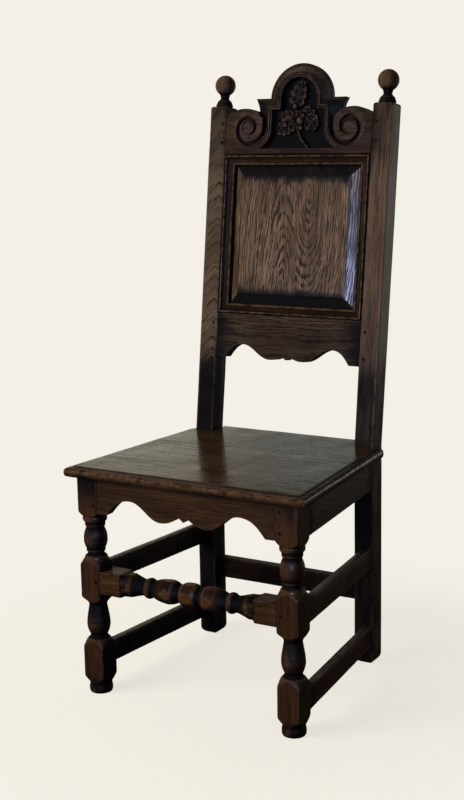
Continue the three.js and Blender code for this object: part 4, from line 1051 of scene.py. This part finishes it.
# Pale lines along the band's beads, worn spots and painted highlights, and dark lines in its quirks, dirt
# and painted shade, as [distance out from the recess, half width, amount]
BEAD_WEAR_AND_GLINT = [(1.4, 1.1, 0.7), (5.6, 1.5, 0.8)]
QUIRK_DIRT_AND_SHADE = [(3.2, 0.9, 0.8), (8, 0.9, 0.8)]
ARCH_HIGHLIGHT = [(0.45, 0.2, 0.8)]  # the same across the arch, by its share: a painted highlight
# The cove under the ears is painted dark as shade
EAR_SHADE = 0.6


def crest_look(points):
    """Depth of the crest's front, whether it is the spray's, and how much each point is paled, by worn
    spots and painted highlights, and darkened, by dirt and painted shade.
    """
    recess = recess_line()
    near_line, far_line = cove_lines()
    sides, whole = distance_to(points, recess), distance_to(points, recess, closed=True)
    near, far = distance_to(points, near_line), distance_to(points, far_line)
    heights = points[:, 1]
    in_recess = within(points, recess)
    in_cove = within(points, np.vstack([near_line, far_line[::-1]])) | (far < EDGE_REACH)
    in_band = ~in_recess & (sides < BEAD_FACE[-1][0]) & (heights > RECESS_BOTTOM)
    share = near / (near + far + TINY)
    scoop = at_least(COVE_TOP_SHARE, np.sin(math.pi / 2 * share) ** COVE_POWER)
    depth = np.where(in_cove, COVE_DEPTH * scoop, 0)
    depth = np.maximum(depth, groove_depth(points) * eased(*GROOVE_SPAN, sides) * ~in_recess * ~in_cove)
    band = np.interp(sides, *np.array(BEAD_FACE).T)
    band = band * eased(RECESS_BOTTOM + BAND_RISE[0], RECESS_BOTTOM + BAND_RISE[1], heights)
    depth = np.where(in_band, np.maximum(band, depth * eased(*BAND_SPAN, sides)), depth)
    chance = np.random.default_rng(GROUND_SEED)
    tooled = GROUND_ROUGHNESS * waves(points, chance, GROUND_WAVES, GROUND_LENGTHS)
    rim = BEAD_FACE[0][1]
    ground = rim + (RECESS_DEPTH - rim + tooled) * eased(0, WALL_RUN, whole)
    carved, wear_and_highlight, dirt_and_shade = spray_look(points)
    in_spray = in_recess & (carved < ground)
    depth = np.where(in_recess, np.minimum(ground, carved), depth)
    wear_and_highlight = np.where(in_spray, wear_and_highlight, 0)
    dirt_and_shade = np.where(in_spray, dirt_and_shade, in_recess * eased(*GROUND_STAIN_AND_SHADE, depth))
    # The arch's cove gets a painted highlight towards its top, and the cove under the ears painted shade
    on_arch = in_cove * eased(ARCH_CENTRE, ARCH_CENTRE + ARCH_RADIUS, heights)
    under_ear = in_cove * eased(ARCH_CENTRE, ARCH_CENTRE - COVE_DEPTH, heights)
    wear_and_highlight = wear_and_highlight + on_arch * stripes(share, ARCH_HIGHLIGHT) + in_band * stripes(sides, BEAD_WEAR_AND_GLINT)
    dirt_and_shade = dirt_and_shade + EAR_SHADE * under_ear + in_band * stripes(sides, QUIRK_DIRT_AND_SHADE)
    return depth, in_spray, wear_and_highlight, dirt_and_shade


CREST_WALLS = (0.5, 1)  # where the side walls have rows of vertices, as shares of their depth
CREST_BLUR = 6
CREST_UNEVEN = 0.15
# From what rise or fall against the mean the crest is paled, worn spots and painted highlights on what
# stands up, or darkened, dirt and painted shade in its hollows, over how much more, and the most
CROWN_SPAN, HOLLOW_SPAN = (0.3, 2.2, 1), (0.15, 2, 0.9)
# The crest darkens with depth as painted shade, and the volutes' shallow rolls are paled, worn spots and
# painted highlights
DEEP_SHADE, DEEP_SPAN = 0.3, (4, 12)
VOLUTE_WEAR_AND_GLINT, VOLUTE_SHALLOW = 0.45, 1.5


def span_share(values, span):
    start, run, most = span
    return np.clip((values - start) / run, 0, most)


def quarters(grid):
    """The four neighbours that meet at each inner corner of a grid."""
    return grid[:-1, :-1], grid[1:, :-1], grid[:-1, 1:], grid[1:, 1:]


def crest_rail(finish):
    """A grid of points over the crest's front, fitted to its outline, with walls to a flat back."""
    outline = crest_outline()
    (left, bottom), (right, top) = outline.min(axis=0), outline.max(axis=0)
    columns, rows = math.ceil((right - left) / CREST_GRID), math.ceil((top - bottom) / CREST_GRID)
    xs = np.linspace(left, right, columns + 1)
    hs = bottom + np.arange(rows + 2) * CREST_GRID
    grid_x, grid_h = np.meshgrid(xs, hs)
    flat = np.column_stack([grid_x.ravel(), grid_h.ravel()])
    gap, nearest = nearest_on(flat, outline, closed=True)
    signed = np.where(within(flat, outline), gap, -gap).reshape(grid_x.shape)
    cells = np.logical_and.reduce(quarters(signed > -CREST_GRID / 2))
    beside = quarters(np.pad(cells, 1))
    used = np.logical_or.reduce(beside).ravel()
    rim = used & ~np.logical_and.reduce(beside).ravel()
    flat[rim] = nearest[rim]
    spots = flat[used]
    depth, in_spray, wear_and_highlight, dirt_and_shade = crest_look(spots)
    mean = np.zeros(len(flat))
    mean[used] = depth
    mean = mean.reshape(grid_x.shape)
    for axis in (0, 1):
        mean = np.apply_along_axis(running_mean, axis, mean, CREST_BLUR)
    mean = mean.ravel()[used]
    from_eye = np.hypot(VOLUTE[0] - np.abs(spots[:, 0]), spots[:, 1] - VOLUTE[1])
    curl = eased(GROOVE[0][1], GROOVE[0][1] - GROOVE[0][2], from_eye) * (depth < VOLUTE_SHALLOW)
    crown = span_share(mean - depth, CROWN_SPAN) + VOLUTE_WEAR_AND_GLINT * curl
    wear_and_highlight = np.clip(np.where(in_spray, wear_and_highlight, wear_and_highlight + crown), 0, 1)
    hollow = span_share(depth - mean, HOLLOW_SPAN) * ~in_spray
    # Its bottom edge is painted dark: shade beside the moulding, with some dirt
    at_gap = eased(GAP_DARK, GAP_DARK / 2, spots[:, 1])
    dirt_and_shade = np.clip(dirt_and_shade + hollow + eased(*DEEP_SPAN, depth) * DEEP_SHADE + at_gap, 0, 1)
    number = (np.cumsum(used) - 1).reshape(grid_x.shape)
    j, i = np.nonzero(cells)
    around = number[j, i], number[j, i + 1], number[j + 1, i + 1], number[j + 1, i]
    faces = np.column_stack(around).tolist()
    directed = {(a, b) for quad in faces for a, b in zip(quad, quad[1:] + quad[:1])}
    following = {a: b for a, b in directed if (b, a) not in directed}
    loop = [min(following)]
    while following[loop[-1]] != loop[0]:
        loop.append(following[loop[-1]])
    points = [np.column_stack([spots[:, 0], depth, CREST_BOTTOM + spots[:, 1]])]
    inner = loop
    for wall, share in enumerate(CREST_WALLS):
        level = depth[loop] + (BACK_THICKNESS - depth[loop]) * share
        points.append(np.column_stack([spots[loop, 0], level, CREST_BOTTOM + spots[loop, 1]]))
        first = len(spots) + wall * len(loop)
        outer = list(range(first, first + len(loop)))
        for a, b, c, d in zip(inner, inner[1:] + inner[:1], outer, outer[1:] + outer[:1]):
            faces.append([b, a, c, d])
        inner = outer
    faces.append(inner[::-1])
    walls = np.zeros(len(CREST_WALLS) * len(loop))
    wear_and_highlight, dirt_and_shade = np.concatenate([wear_and_highlight, walls]), np.concatenate([dirt_and_shade, walls])
    add_piece("crest_rail", np.concatenate(points), faces, "x", finish, leant, wear_and_highlight, dirt_and_shade, CREST_UNEVEN)


# Pegs

PEG_RADIUS = 3.5
PEG_INSET = 10
PEG_SIDES = 14
PEG_RINGS = [(1, -2), (1, 0), (0.97, 0.4), (0.86, 0.7), (0.5, 0.8)]  # [radius share, height]
PEG_WAVES, PEG_UNEVEN, PEG_FILL = (2, 3, 5), 0.12, 0.95
RAIL_SHOULDER = 5
BACK_PEGS = [
    ("lower_back_rail", "lower", 173), ("lower_back_rail", "upper", 227),
    ("crest_rail", "lower", 602), ("crest_rail", "upper", 640),
]


def peg(name, at, out, place, finish):
    """The slightly uneven, rounded head of a riven peg."""
    chance = np.random.default_rng(seed_of(name))
    grain = "xyz"[int(np.argmax(np.abs(out)))]
    out = Vector(out)
    across = out.orthogonal().normalized()
    up = out.cross(across)
    bumps = [(k, chance.uniform(0, TURN), chance.uniform(0, PEG_UNEVEN / k)) for k in PEG_WAVES]
    rings = []
    for share, height in PEG_RINGS:
        ring = []
        for angle in [TURN * k / PEG_SIDES for k in range(PEG_SIDES)]:
            dent = sum(size * (1 + math.sin(k * angle + turn)) / 2 for k, turn, size in bumps)
            way = across * math.cos(angle) + up * math.sin(angle)
            ring.append(Vector(at) + out * height + way * PEG_RADIUS * share * (PEG_FILL - dent))
        rings.append(np.array(ring))
    plain = [np.zeros(PEG_SIDES)] * len(rings)
    add_rings(name, rings, plain, plain, grain, finish, place, uneven=0)


def all_pegs(finish):
    front, rear = (0, -1, 0), (0, 1, 0)
    low = LEG_TOP - FRONT_RAIL_HEIGHT + RAIL_SHOULDER + PEG_INSET
    high = LEG_TOP - RAIL_SHOULDER - PEG_INSET
    for hand, side in HANDS:
        front_x, rear_x = side * (LEG_INNER + PEG_INSET), side * (OPENING_HALF + PEG_INSET)
        spots = [
            (f"front_rail_{hand}_lower", (front_x, 0, low), front),
            (f"front_rail_{hand}_upper", (front_x, 0, high), front),
            (f"front_stretcher_{hand}", (front_x, 0, FRONT_STRETCHER_HEIGHT), front),
        ]
        ends = (
            ("front", FRONT_WIDTH, LEG_SQUARE - PEG_INSET),
            ("rear", BACK_WIDTH, FRAME_DEPTH + PEG_INSET),
        )
        for name, _, top, height in SIDE_MEMBERS:
            for end, width, y in ends:
                spot = (side * width / 2, y, top - height / 2)
                spots.append((f"{name}_{hand}_{end}", spot, (side, 0, 0)))
        for name, _, top, height in REAR_MEMBERS:
            spots.append((f"{name}_{hand}", (rear_x, POST_BACK, top - height / 2), rear))
        for name, spot, out in spots:
            peg("peg_" + name, spot, out, upright, finish)
        for name, end, slope in BACK_PEGS:
            peg(f"peg_{name}_{hand}_{end}", (rear_x, 0, slope), front, leant, finish)


# Materials

class Wire:
    """A value in a node tree. Sums, differences and products add the nodes for them."""

    def __init__(self, nodes, socket):
        self.nodes, self.socket = nodes, socket

    def __add__(self, other):
        return self.nodes.math("ADD", self, other)

    def __sub__(self, other):
        return self.nodes.math("SUBTRACT", self, other)

    def __rsub__(self, other):
        return self.nodes.math("SUBTRACT", other, self)

    def __mul__(self, other):
        return self.nodes.math("MULTIPLY", self, other)

    def __abs__(self):
        return self.nodes.math("ABSOLUTE", self)


class Nodes:
    """Short names for adding to a node tree."""

    def __init__(self, tree):
        self.tree = tree

    def put(self, value, target):
        if isinstance(value, Wire):
            self.tree.links.new(value.socket, target)
        else:
            target.default_value = value

    def add(self, kind, inputs, output=0, **settings):
        """A node with its settings and its inputs, as the wire of one of its outputs."""
        node = self.tree.nodes.new("ShaderNode" + kind)
        for key, value in settings.items():
            setattr(node, key, value)
        for key, value in inputs.items():
            self.put(value, node.inputs[key])
        return Wire(self, node.outputs[output])

    def math(self, operation, *values):
        return self.add("Math", dict(enumerate(values)), operation=operation)

    def vector(self, operation, *values):
        output = "Value" if operation in ("LENGTH", "DOT_PRODUCT") else "Vector"
        return self.add("VectorMath", dict(enumerate(values)), output, operation=operation)

    def attribute(self, name, output="Fac"):
        return self.add("Attribute", {}, output, attribute_name=name)

    def noise(self, vector, pattern, output="Fac"):
        """Noise over a vector, its pattern given as [stretch, scale, detail]."""
        stretch, scale, detail = pattern
        inputs = {"Vector": self.vector("MULTIPLY", vector, stretch), "Scale": scale, "Detail": detail}
        return self.add("TexNoise", inputs, output)

    def between(self, value, low, high, to_low=0, to_high=1):
        inputs = {"Value": value, "From Min": low, "From Max": high, "To Min": to_low, "To Max": to_high}
        return self.add("MapRange", inputs, interpolation_type="SMOOTHSTEP")

    def mix(self, factor, first, second):
        return self.add("Mix", {0: factor, 6: first, 7: second}, 2, data_type="RGBA")


def new_material(name):
    """A material with the nodes it starts with, and short names for adding more."""
    material = bpy.data.materials.new(name)
    material.use_nodes = True
    tree = material.node_tree
    return material, Nodes(tree), tree.nodes["Principled BSDF"], tree.nodes["Material Output"]


TONES = ((0.2, 0.4), (0.48, 0.95), (0.66, 1.4), (0.85, 1.9))  # place and share of the colour
DEEP_SHARE = 0.15
WORN_SHARE = 1.4
# The blue-black that dirt darkens towards, also used to paint shade in hollows, under parts and on sides
# away from the lamps
DIRT_AND_SHADE_COLOUR = (0.0036, 0.0034, 0.0042, 1)
# Clouds that bend the grain, as [pattern, size as a multiple of the figure]
BENDS = [(((9, 9, 4), 1, 2), 6), (((80, 80, 24), 1, 2), 1)]
FOLD_BLEND = 0.008
GROWTH, GROWTH_SIZE = ((1, 1, 1), 50, 2), 0.012
DASHES, DASH_STRENGTH = ((1, 1, 0.07), 420, 3), 3
FINE = (1, 1, 0.05), 1300, 2
STREAKS = (1, 1, 0.05), 200, 4
PATCHES = (1, 1, 0.4), 14, 3
FLECKS, FLECK_SPAN = ((1, 1, 0.12), 300, 1), (0.6, 0.66)
CLOUDS = (1, 1, 0.25), 60, 3
SPOTS, SPOT_SPAN = ((1, 1, 0.6), 150, 4), (0.32, 0.68)
LINE_SPAN, PORE_SPAN = (0.5, 0.9), (0.54, 0.64)
PORE_PLACES = (0.1, 0.8, 0.35, 1)  # from how early in a ring to how late, and how many pores at each
TONE_WEIGHT, PATCH_WEIGHT, FINE_WEIGHT = 0.03, 0.8, 0.5
PORE_DARK, WORN_PALE = 0.45, 0.6
PATCH_GLOSS, GRIME_DULL = 0.16, 0.2
GRIME_MATT, WEAR_MATT, LINE_MATT = 0.6, 0.75, 0.5
GROOVE_BUMP = -0.6


def oak(
    name, colour, rings=300, lines=0.35, streaky=1, roughness=0.3, shine=0.15, dull=0.1, figure=0.002,
    fold=None, bump=0.15, mottled=1, pits=0.25, lift=(0.04, 0.026, 0.017),
):
    """Stained oak with rings, pores and fibres, about the colour given.
    fold makes two figures side by side: the line between them, how far each stands from it,
    and how steeply the rings run out of the face on either side."""
    material, n, shader, _ = new_material(name)
    grain = n.attribute("grain", "Vector")
    bent = grain
    for pattern, multiple in BENDS:
        cloud = n.vector("SUBTRACT", n.noise(grain, pattern, "Color"), (0.5, 0.5, 0.5))
        size = figure * multiple
        bent = n.vector("ADD", bent, n.vector("MULTIPLY", cloud, (size, size, 0)))
    across, deep, along = (n.add("SeparateXYZ", {0: bent}, axis) for axis in "XYZ")
    if fold:
        line, apart, left, right = fold
        off = across - line
        deep = deep + along * n.between(off, -FOLD_BLEND, FOLD_BLEND, left, right)
        across = abs(off) - apart
    reach = n.vector("LENGTH", n.add("CombineXYZ", {"X": across, "Y": deep}))
    reach = reach + n.noise(n.add("CombineXYZ", {"X": reach}), GROWTH) * GROWTH_SIZE
    early = abs(n.math("FRACT", reach * rings) * 2 - 1)
    fine = n.noise(bent, FINE)
    dark_lines = n.between(early + (n.noise(bent, DASHES) - 0.5) * DASH_STRENGTH, *LINE_SPAN)
    pores = n.between(fine, *PORE_SPAN) * n.between(early, *PORE_PLACES)
    patches = n.noise(grain, PATCHES)
    body = n.attribute("tone") * TONE_WEIGHT
    weights = ((n.noise(bent, STREAKS), streaky), (patches, PATCH_WEIGHT), (fine, FINE_WEIGHT))
    for part, weight in weights:
        body = body + (part - 0.5) * weight
    paint = n.add("ValToRGB", {"Fac": body + 0.5})
    ramp = paint.socket.node.color_ramp
    while len(ramp.elements) < len(TONES):
        ramp.elements.new(1)
    for stop, (place, level) in zip(ramp.elements, TONES):
        stop.position = place
        stop.color = (*(value * level for value in colour), 1)
    deepest = tuple(value * DEEP_SHARE for value in colour) + (1,)
    # The pale colour of worn spots, also used for painted highlights and sheen; lift sets how pale
    worn = tuple(value * WORN_SHARE + more for value, more in zip(colour, lift)) + (1,)
    flecks = n.between(n.noise(grain, FLECKS), *FLECK_SPAN) * pits
    for share in (dark_lines * lines, pores * PORE_DARK, flecks):
        paint = n.mix(share, paint, deepest)
    # The darkening below is dirt and painted shade, and the paling is worn spots and painted highlights
    dirt_and_shade = n.attribute("dirt_and_shade")
    mottle = dirt_and_shade * (1 - dirt_and_shade) * (mottled * 4)
    dirt_and_shade = n.between(dirt_and_shade + mottle * (n.noise(grain, CLOUDS) - 0.5), 0, 1)
    wear_and_highlight = n.attribute("wear_and_highlight") * n.between(n.noise(grain, SPOTS), *SPOT_SPAN)
    paint = n.mix(wear_and_highlight * WORN_PALE, n.mix(dirt_and_shade, paint, DIRT_AND_SHADE_COLOUR), worn)
    gloss = patches * PATCH_GLOSS + (roughness - PATCH_GLOSS / 2)
    gloss = gloss + n.math("MAXIMUM", dark_lines, pores) * dull + dirt_and_shade * GRIME_DULL
    matt = flecks
    for share in (dirt_and_shade * GRIME_MATT, wear_and_highlight * WEAR_MATT, dark_lines * (lines * LINE_MATT)):
        matt = n.math("MAXIMUM", matt, share)
    height = (dark_lines + pores) * GROOVE_BUMP
    n.put(paint, shader.inputs["Base Color"])
    n.put(gloss, shader.inputs["Roughness"])
    n.put(n.between(matt, 0, 1, shine, 0), shader.inputs["Specular IOR Level"])
    n.put(n.add("Bump", {"Height": height, "Strength": 1, "Distance": bump * MM}), shader.inputs["Normal"])
    return material


left_leg_oak = oak("oak_dark", (0.035, 0.0158, 0.0075), lines=0.3, streaky=0.8)
right_leg_oak = oak("oak_dark", (0.05, 0.0222, 0.0096), lines=0.3, streaky=0.8)
stretcher_oak = oak("oak_dark", (0.052, 0.024, 0.0102), lines=0.3, streaky=0.9, shine=0.12)
# dark_oak's grey lift is the colour of the sheen painted on the tops of the bars
dark_oak = oak("oak_dark", (0.031, 0.0154, 0.0076), lines=0.4, lift=(0.1, 0.086, 0.074))
apron_oak = oak("oak_dark", (0.04, 0.0198, 0.0095), lines=0.4, rings=260, figure=0.004, streaky=0.8)
# crest_oak's pale lift colours the painted highlights on the carving
crest_oak = oak(
    "oak_dark", (0.0245, 0.0135, 0.01), lines=0.45, shine=0.17, roughness=0.38,
    lift=(0.085, 0.062, 0.052),
)
# The moulding's strips differ in the colour of their painted highlight lines: warm on the top and bottom,
# paler and cooler on the sides
ledge_oak = oak(
    "oak_dark", (0.027, 0.0135, 0.008), lines=0.3, shine=0.04, roughness=0.5,
    lift=(0.13, 0.085, 0.052),
)
jamb_oak = oak(
    "oak_dark", (0.027, 0.0145, 0.0105), lines=0.3, shine=0.04, roughness=0.5,
    lift=(0.14, 0.108, 0.1),
)
finial_oak = oak("oak_dark", (0.062, 0.037, 0.022), shine=0.1, roughness=0.45)
left_oak = oak(
    "oak_back", (0.076, 0.053, 0.036), rings=400, lines=0.17, figure=0.006, streaky=0.8, pits=0.8,
)
right_oak = oak("oak_back", (0.092, 0.0585, 0.0395), rings=420, lines=0.4, streaky=0.7, pits=0.3)
rail_oak = oak("oak_back", (0.038, 0.0245, 0.0178), lines=0.8, rings=200, figure=0.005)
panel_oak = oak(
    "oak_panel", (0.1, 0.062, 0.0375), pits=0.4, mottled=1.5, lift=(0.05, 0.03, 0.016), rings=200,
    lines=1, figure=0.003, shine=0.4, roughness=0.24, fold=(0.006, 0.026, 0.2, -0.28), streaky=1.2,
)
seat_oak = oak(
    "oak_seat", (0.033, 0.0175, 0.0082), figure=0.001, pits=0.7, lift=(0.06, 0.032, 0.018), roughness=0.15,
    shine=0.3, lines=0.15, rings=140, bump=0.03, fold=(0, 0.08, 0.02, 0.02), dull=0.14, mottled=2,
)
peg_oak = oak("oak_peg", (0.003, 0.002, 0.001))

# The chair

# How much the shaped rails darken towards their ends
APRON_ENDS_DARK, BACK_ENDS_DARK = 0.3, 0.8

for hand, side in HANDS:
    front_leg(hand, side, left_leg_oak if side < 0 else right_leg_oak)
    rear_post(hand, side, left_oak if side < 0 else right_oak)
    finial(hand, side, finial_oak)
    for name, *sizes in SIDE_MEMBERS:
        side_member(name, hand, side, *sizes, dark_oak)
for name, *sizes in REAR_MEMBERS:
    rear_member(name, *sizes, dark_oak)
shaped_rail(
    "front_seat_rail", APRON, LEG_TOP - FRONT_RAIL_HEIGHT, LEG_TOP, LEG_INNER - FIT,
    RAIL_SETBACK, RAIL_THICKNESS, apron_oak, upright, APRON_ENDS_DARK,
)
shaped_rail(
    "lower_back_rail", BACK_APRON, *LOWER_RAIL, OPENING_HALF - FIT,
    0, BACK_THICKNESS, rail_oak, leant, BACK_ENDS_DARK,
)
front_stretcher(stretcher_oak)
seat_board(seat_oak)
back_panel(panel_oak)
for strip in STRIPS:
    moulding(strip, ledge_oak if strip in ("top", "bottom") else jamb_oak)
crest_rail(crest_oak)
all_pegs(peg_oak)


# Floor, lights and camera, in metres

CREAM = (0.905, 0.871, 0.799, 1)
FLOOR_HALF = 9
FLOOR_BOUNCE = (0.05, 0.042, 0.035, 1)
FLOOR_ROUGHNESS = 0.9
# How much of the floor glows pale, as [near, far, share near, share far] from its middle
SEEN_GLOW = (0.35, 0.9, 0.82, 1)
MIRRORED_GLOW = (2.4, 3.4, 0, 0.7)
AMBIENT = (0.062, 0.065, 0.071, 1)
# What the object mirrors, as [way, inner and outer cosine, colour]
MIRRORED = [
    ((0, 1, 0), 0.75, -0.15, (0.1, 0.112, 0.1056)),
    ((-0.69, 0.69, 0.21), 0.99, 0.95, (0.3, 0.28, 0.22)),
    ((-0.559, 0.814, 0.156), 0.997, 0.9935, (0.7, 0.65, 0.52)),
    ((-0.439, 0.876, 0.2), 0.9997, 0.998, (0.57, 0.64, 0.6)),
    ((0.39, 0.91, -0.05), 0.985, 0.93, (1.3, 1.22, 1.12)),
    ((-0.9, -0.42, 0.12), 0.985, 0.93, (1, 0.72, 0.42)),
]
# Lamps, as [name, place, aim, size, watts, colour, lights surfaces, shows in their gloss]
LAMPS = [
    ("key", (-2.15, -2.75, 1.9), (0, 0, 0.6), (2, 2), 190, (1, 0.95, 0.88), True, False),
    ("behind", (0.3, 3.2, 0.9), (0, 0, 0.6), (2.4, 1.4), 50, (1, 0.97, 0.93), True, False),
    ("side", (3.2, 0.6, 0.9), (0, 0, 0.5), (1.6, 1.2), 8, (1, 0.97, 0.93), True, False),
    ("top", (-1.2, 0.4, 3.3), (0, 0, 0.5), (2.2, 2.2), 16, (1, 0.82, 0.6), True, True),
    ("window", (1.05, -2.6, 0.9), (0, 0, 0.8), (0.7, 0.5), 84, (0.38, 0.54, 1), False, True),
    ("window_top", (1.05, -2.6, 1.5), (0, 0, 0.8), (0.7, 0.2), 9, (1, 0.86, 0.78), False, True),
]
# The camera: its place, the way it looks and its lens, fitted to the photograph
CAMERA_PLACE = (1.3176, -2.2954, 1.0863)
CAMERA_AROUND = math.radians(30.59)
CAMERA_ABOVE = math.radians(11.24)
CAMERA_ROLL = math.radians(-1.10)
SENSOR = 36
IMAGE_HEIGHT = 800
FOCAL_PIXELS = 1376.5


def floor():
    mesh = bpy.data.meshes.new("floor")
    corners = [(-1, -1), (1, -1), (1, 1), (-1, 1)]
    mesh.from_pydata([(x * FLOOR_HALF, y * FLOOR_HALF, 0) for x, y in corners], [], [(0, 1, 2, 3)])
    plane = bpy.data.objects.new("floor", mesh)
    bpy.context.collection.objects.link(plane)
    material, n, shader, output = new_material("floor")
    seen, mirrored = (n.add("LightPath", {}, key) for key in ("Is Camera Ray", "Is Glossy Ray"))
    away = n.vector("LENGTH", n.add("NewGeometry", {}, "Position"))
    n.put(n.mix(seen, FLOOR_BOUNCE, CREAM), shader.inputs["Base Color"])
    n.put(FLOOR_ROUGHNESS, shader.inputs["Roughness"])
    n.put(0, shader.inputs["Specular IOR Level"])
    share = n.between(away, *SEEN_GLOW) * seen + n.between(away, *MIRRORED_GLOW) * mirrored
    glow = n.add("Emission", {"Color": CREAM, "Strength": 1})
    both = n.add("MixShader", {0: share, 1: Wire(n, shader.outputs[0]), 2: glow})
    n.put(both, output.inputs["Surface"])
    mesh.materials.append(material)
    plane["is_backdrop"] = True


def lamp(name, at, aim, size, power, colour, lights, shows):
    """A rectangular lamp. It may light surfaces, show in their gloss, or both."""
    light = bpy.data.lights.new(name, "AREA")
    light.shape = "RECTANGLE"
    light.size, light.size_y = size
    light.energy = power
    light.color = colour
    holder = bpy.data.objects.new(name, light)
    bpy.context.collection.objects.link(holder)
    holder.location = at
    holder.visible_diffuse = lights
    holder.visible_glossy = shows
    holder.rotation_euler = (Vector(aim) - Vector(at)).to_track_quat("-Z", "Y").to_euler()


def surroundings():
    """A pale backdrop for the camera, patches for reflections, and even dim light for the rest."""
    world = bpy.data.worlds.new("studio")
    bpy.context.scene.world = world
    world.use_nodes = True
    world.node_tree.nodes.clear()
    n = Nodes(world.node_tree)
    way = n.add("TexCoord", {}, "Generated")
    total = (0, 0, 0)
    for direction, inner, outer, colour in MIRRORED:
        share = n.between(n.vector("DOT_PRODUCT", way, direction), outer, inner)
        total = n.vector("MULTIPLY_ADD", share, colour, total)
    dim, room, pale = (n.add("Background", {"Color": colour}) for colour in (AMBIENT, total, CREAM))
    mirrored = n.add("MixShader", {0: n.add("LightPath", {}, "Is Glossy Ray"), 1: dim, 2: room})
    shown = n.add("MixShader", {0: n.add("LightPath", {}, "Is Camera Ray"), 1: mirrored, 2: pale})
    n.put(shown, n.tree.nodes.new("ShaderNodeOutputWorld").inputs["Surface"])


def camera():
    lens = bpy.data.cameras.new("camera")
    lens.sensor_fit = "AUTO"
    lens.sensor_width = SENSOR
    lens.lens = SENSOR * FOCAL_PIXELS / IMAGE_HEIGHT
    viewer = bpy.data.objects.new("camera", lens)
    bpy.context.collection.objects.link(viewer)
    sin_a, cos_a = math.sin(CAMERA_AROUND), math.cos(CAMERA_AROUND)
    sin_e, cos_e = math.sin(CAMERA_ABOVE), math.cos(CAMERA_ABOVE)
    back = Vector((sin_a * cos_e, -cos_a * cos_e, sin_e))
    right = Vector((0, 0, 1)).cross(back).normalized()
    up = back.cross(right)
    turned_right = right * math.cos(CAMERA_ROLL) + up * math.sin(CAMERA_ROLL)
    turned_up = up * math.cos(CAMERA_ROLL) - right * math.sin(CAMERA_ROLL)
    axes = Matrix((turned_right, turned_up, back)).transposed().to_4x4()
    viewer.matrix_world = Matrix.Translation(CAMERA_PLACE) @ axes
    bpy.context.scene.camera = viewer


floor()
for row in LAMPS:
    lamp(*row)
surroundings()
camera()
bpy.context.scene.view_settings.view_transform = "Standard"

bpy.context.view_layer.update()
sizes = {
    "cad": [list(corner) for corner in cad_box],
    "visual": [list(corner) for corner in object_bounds()],
}
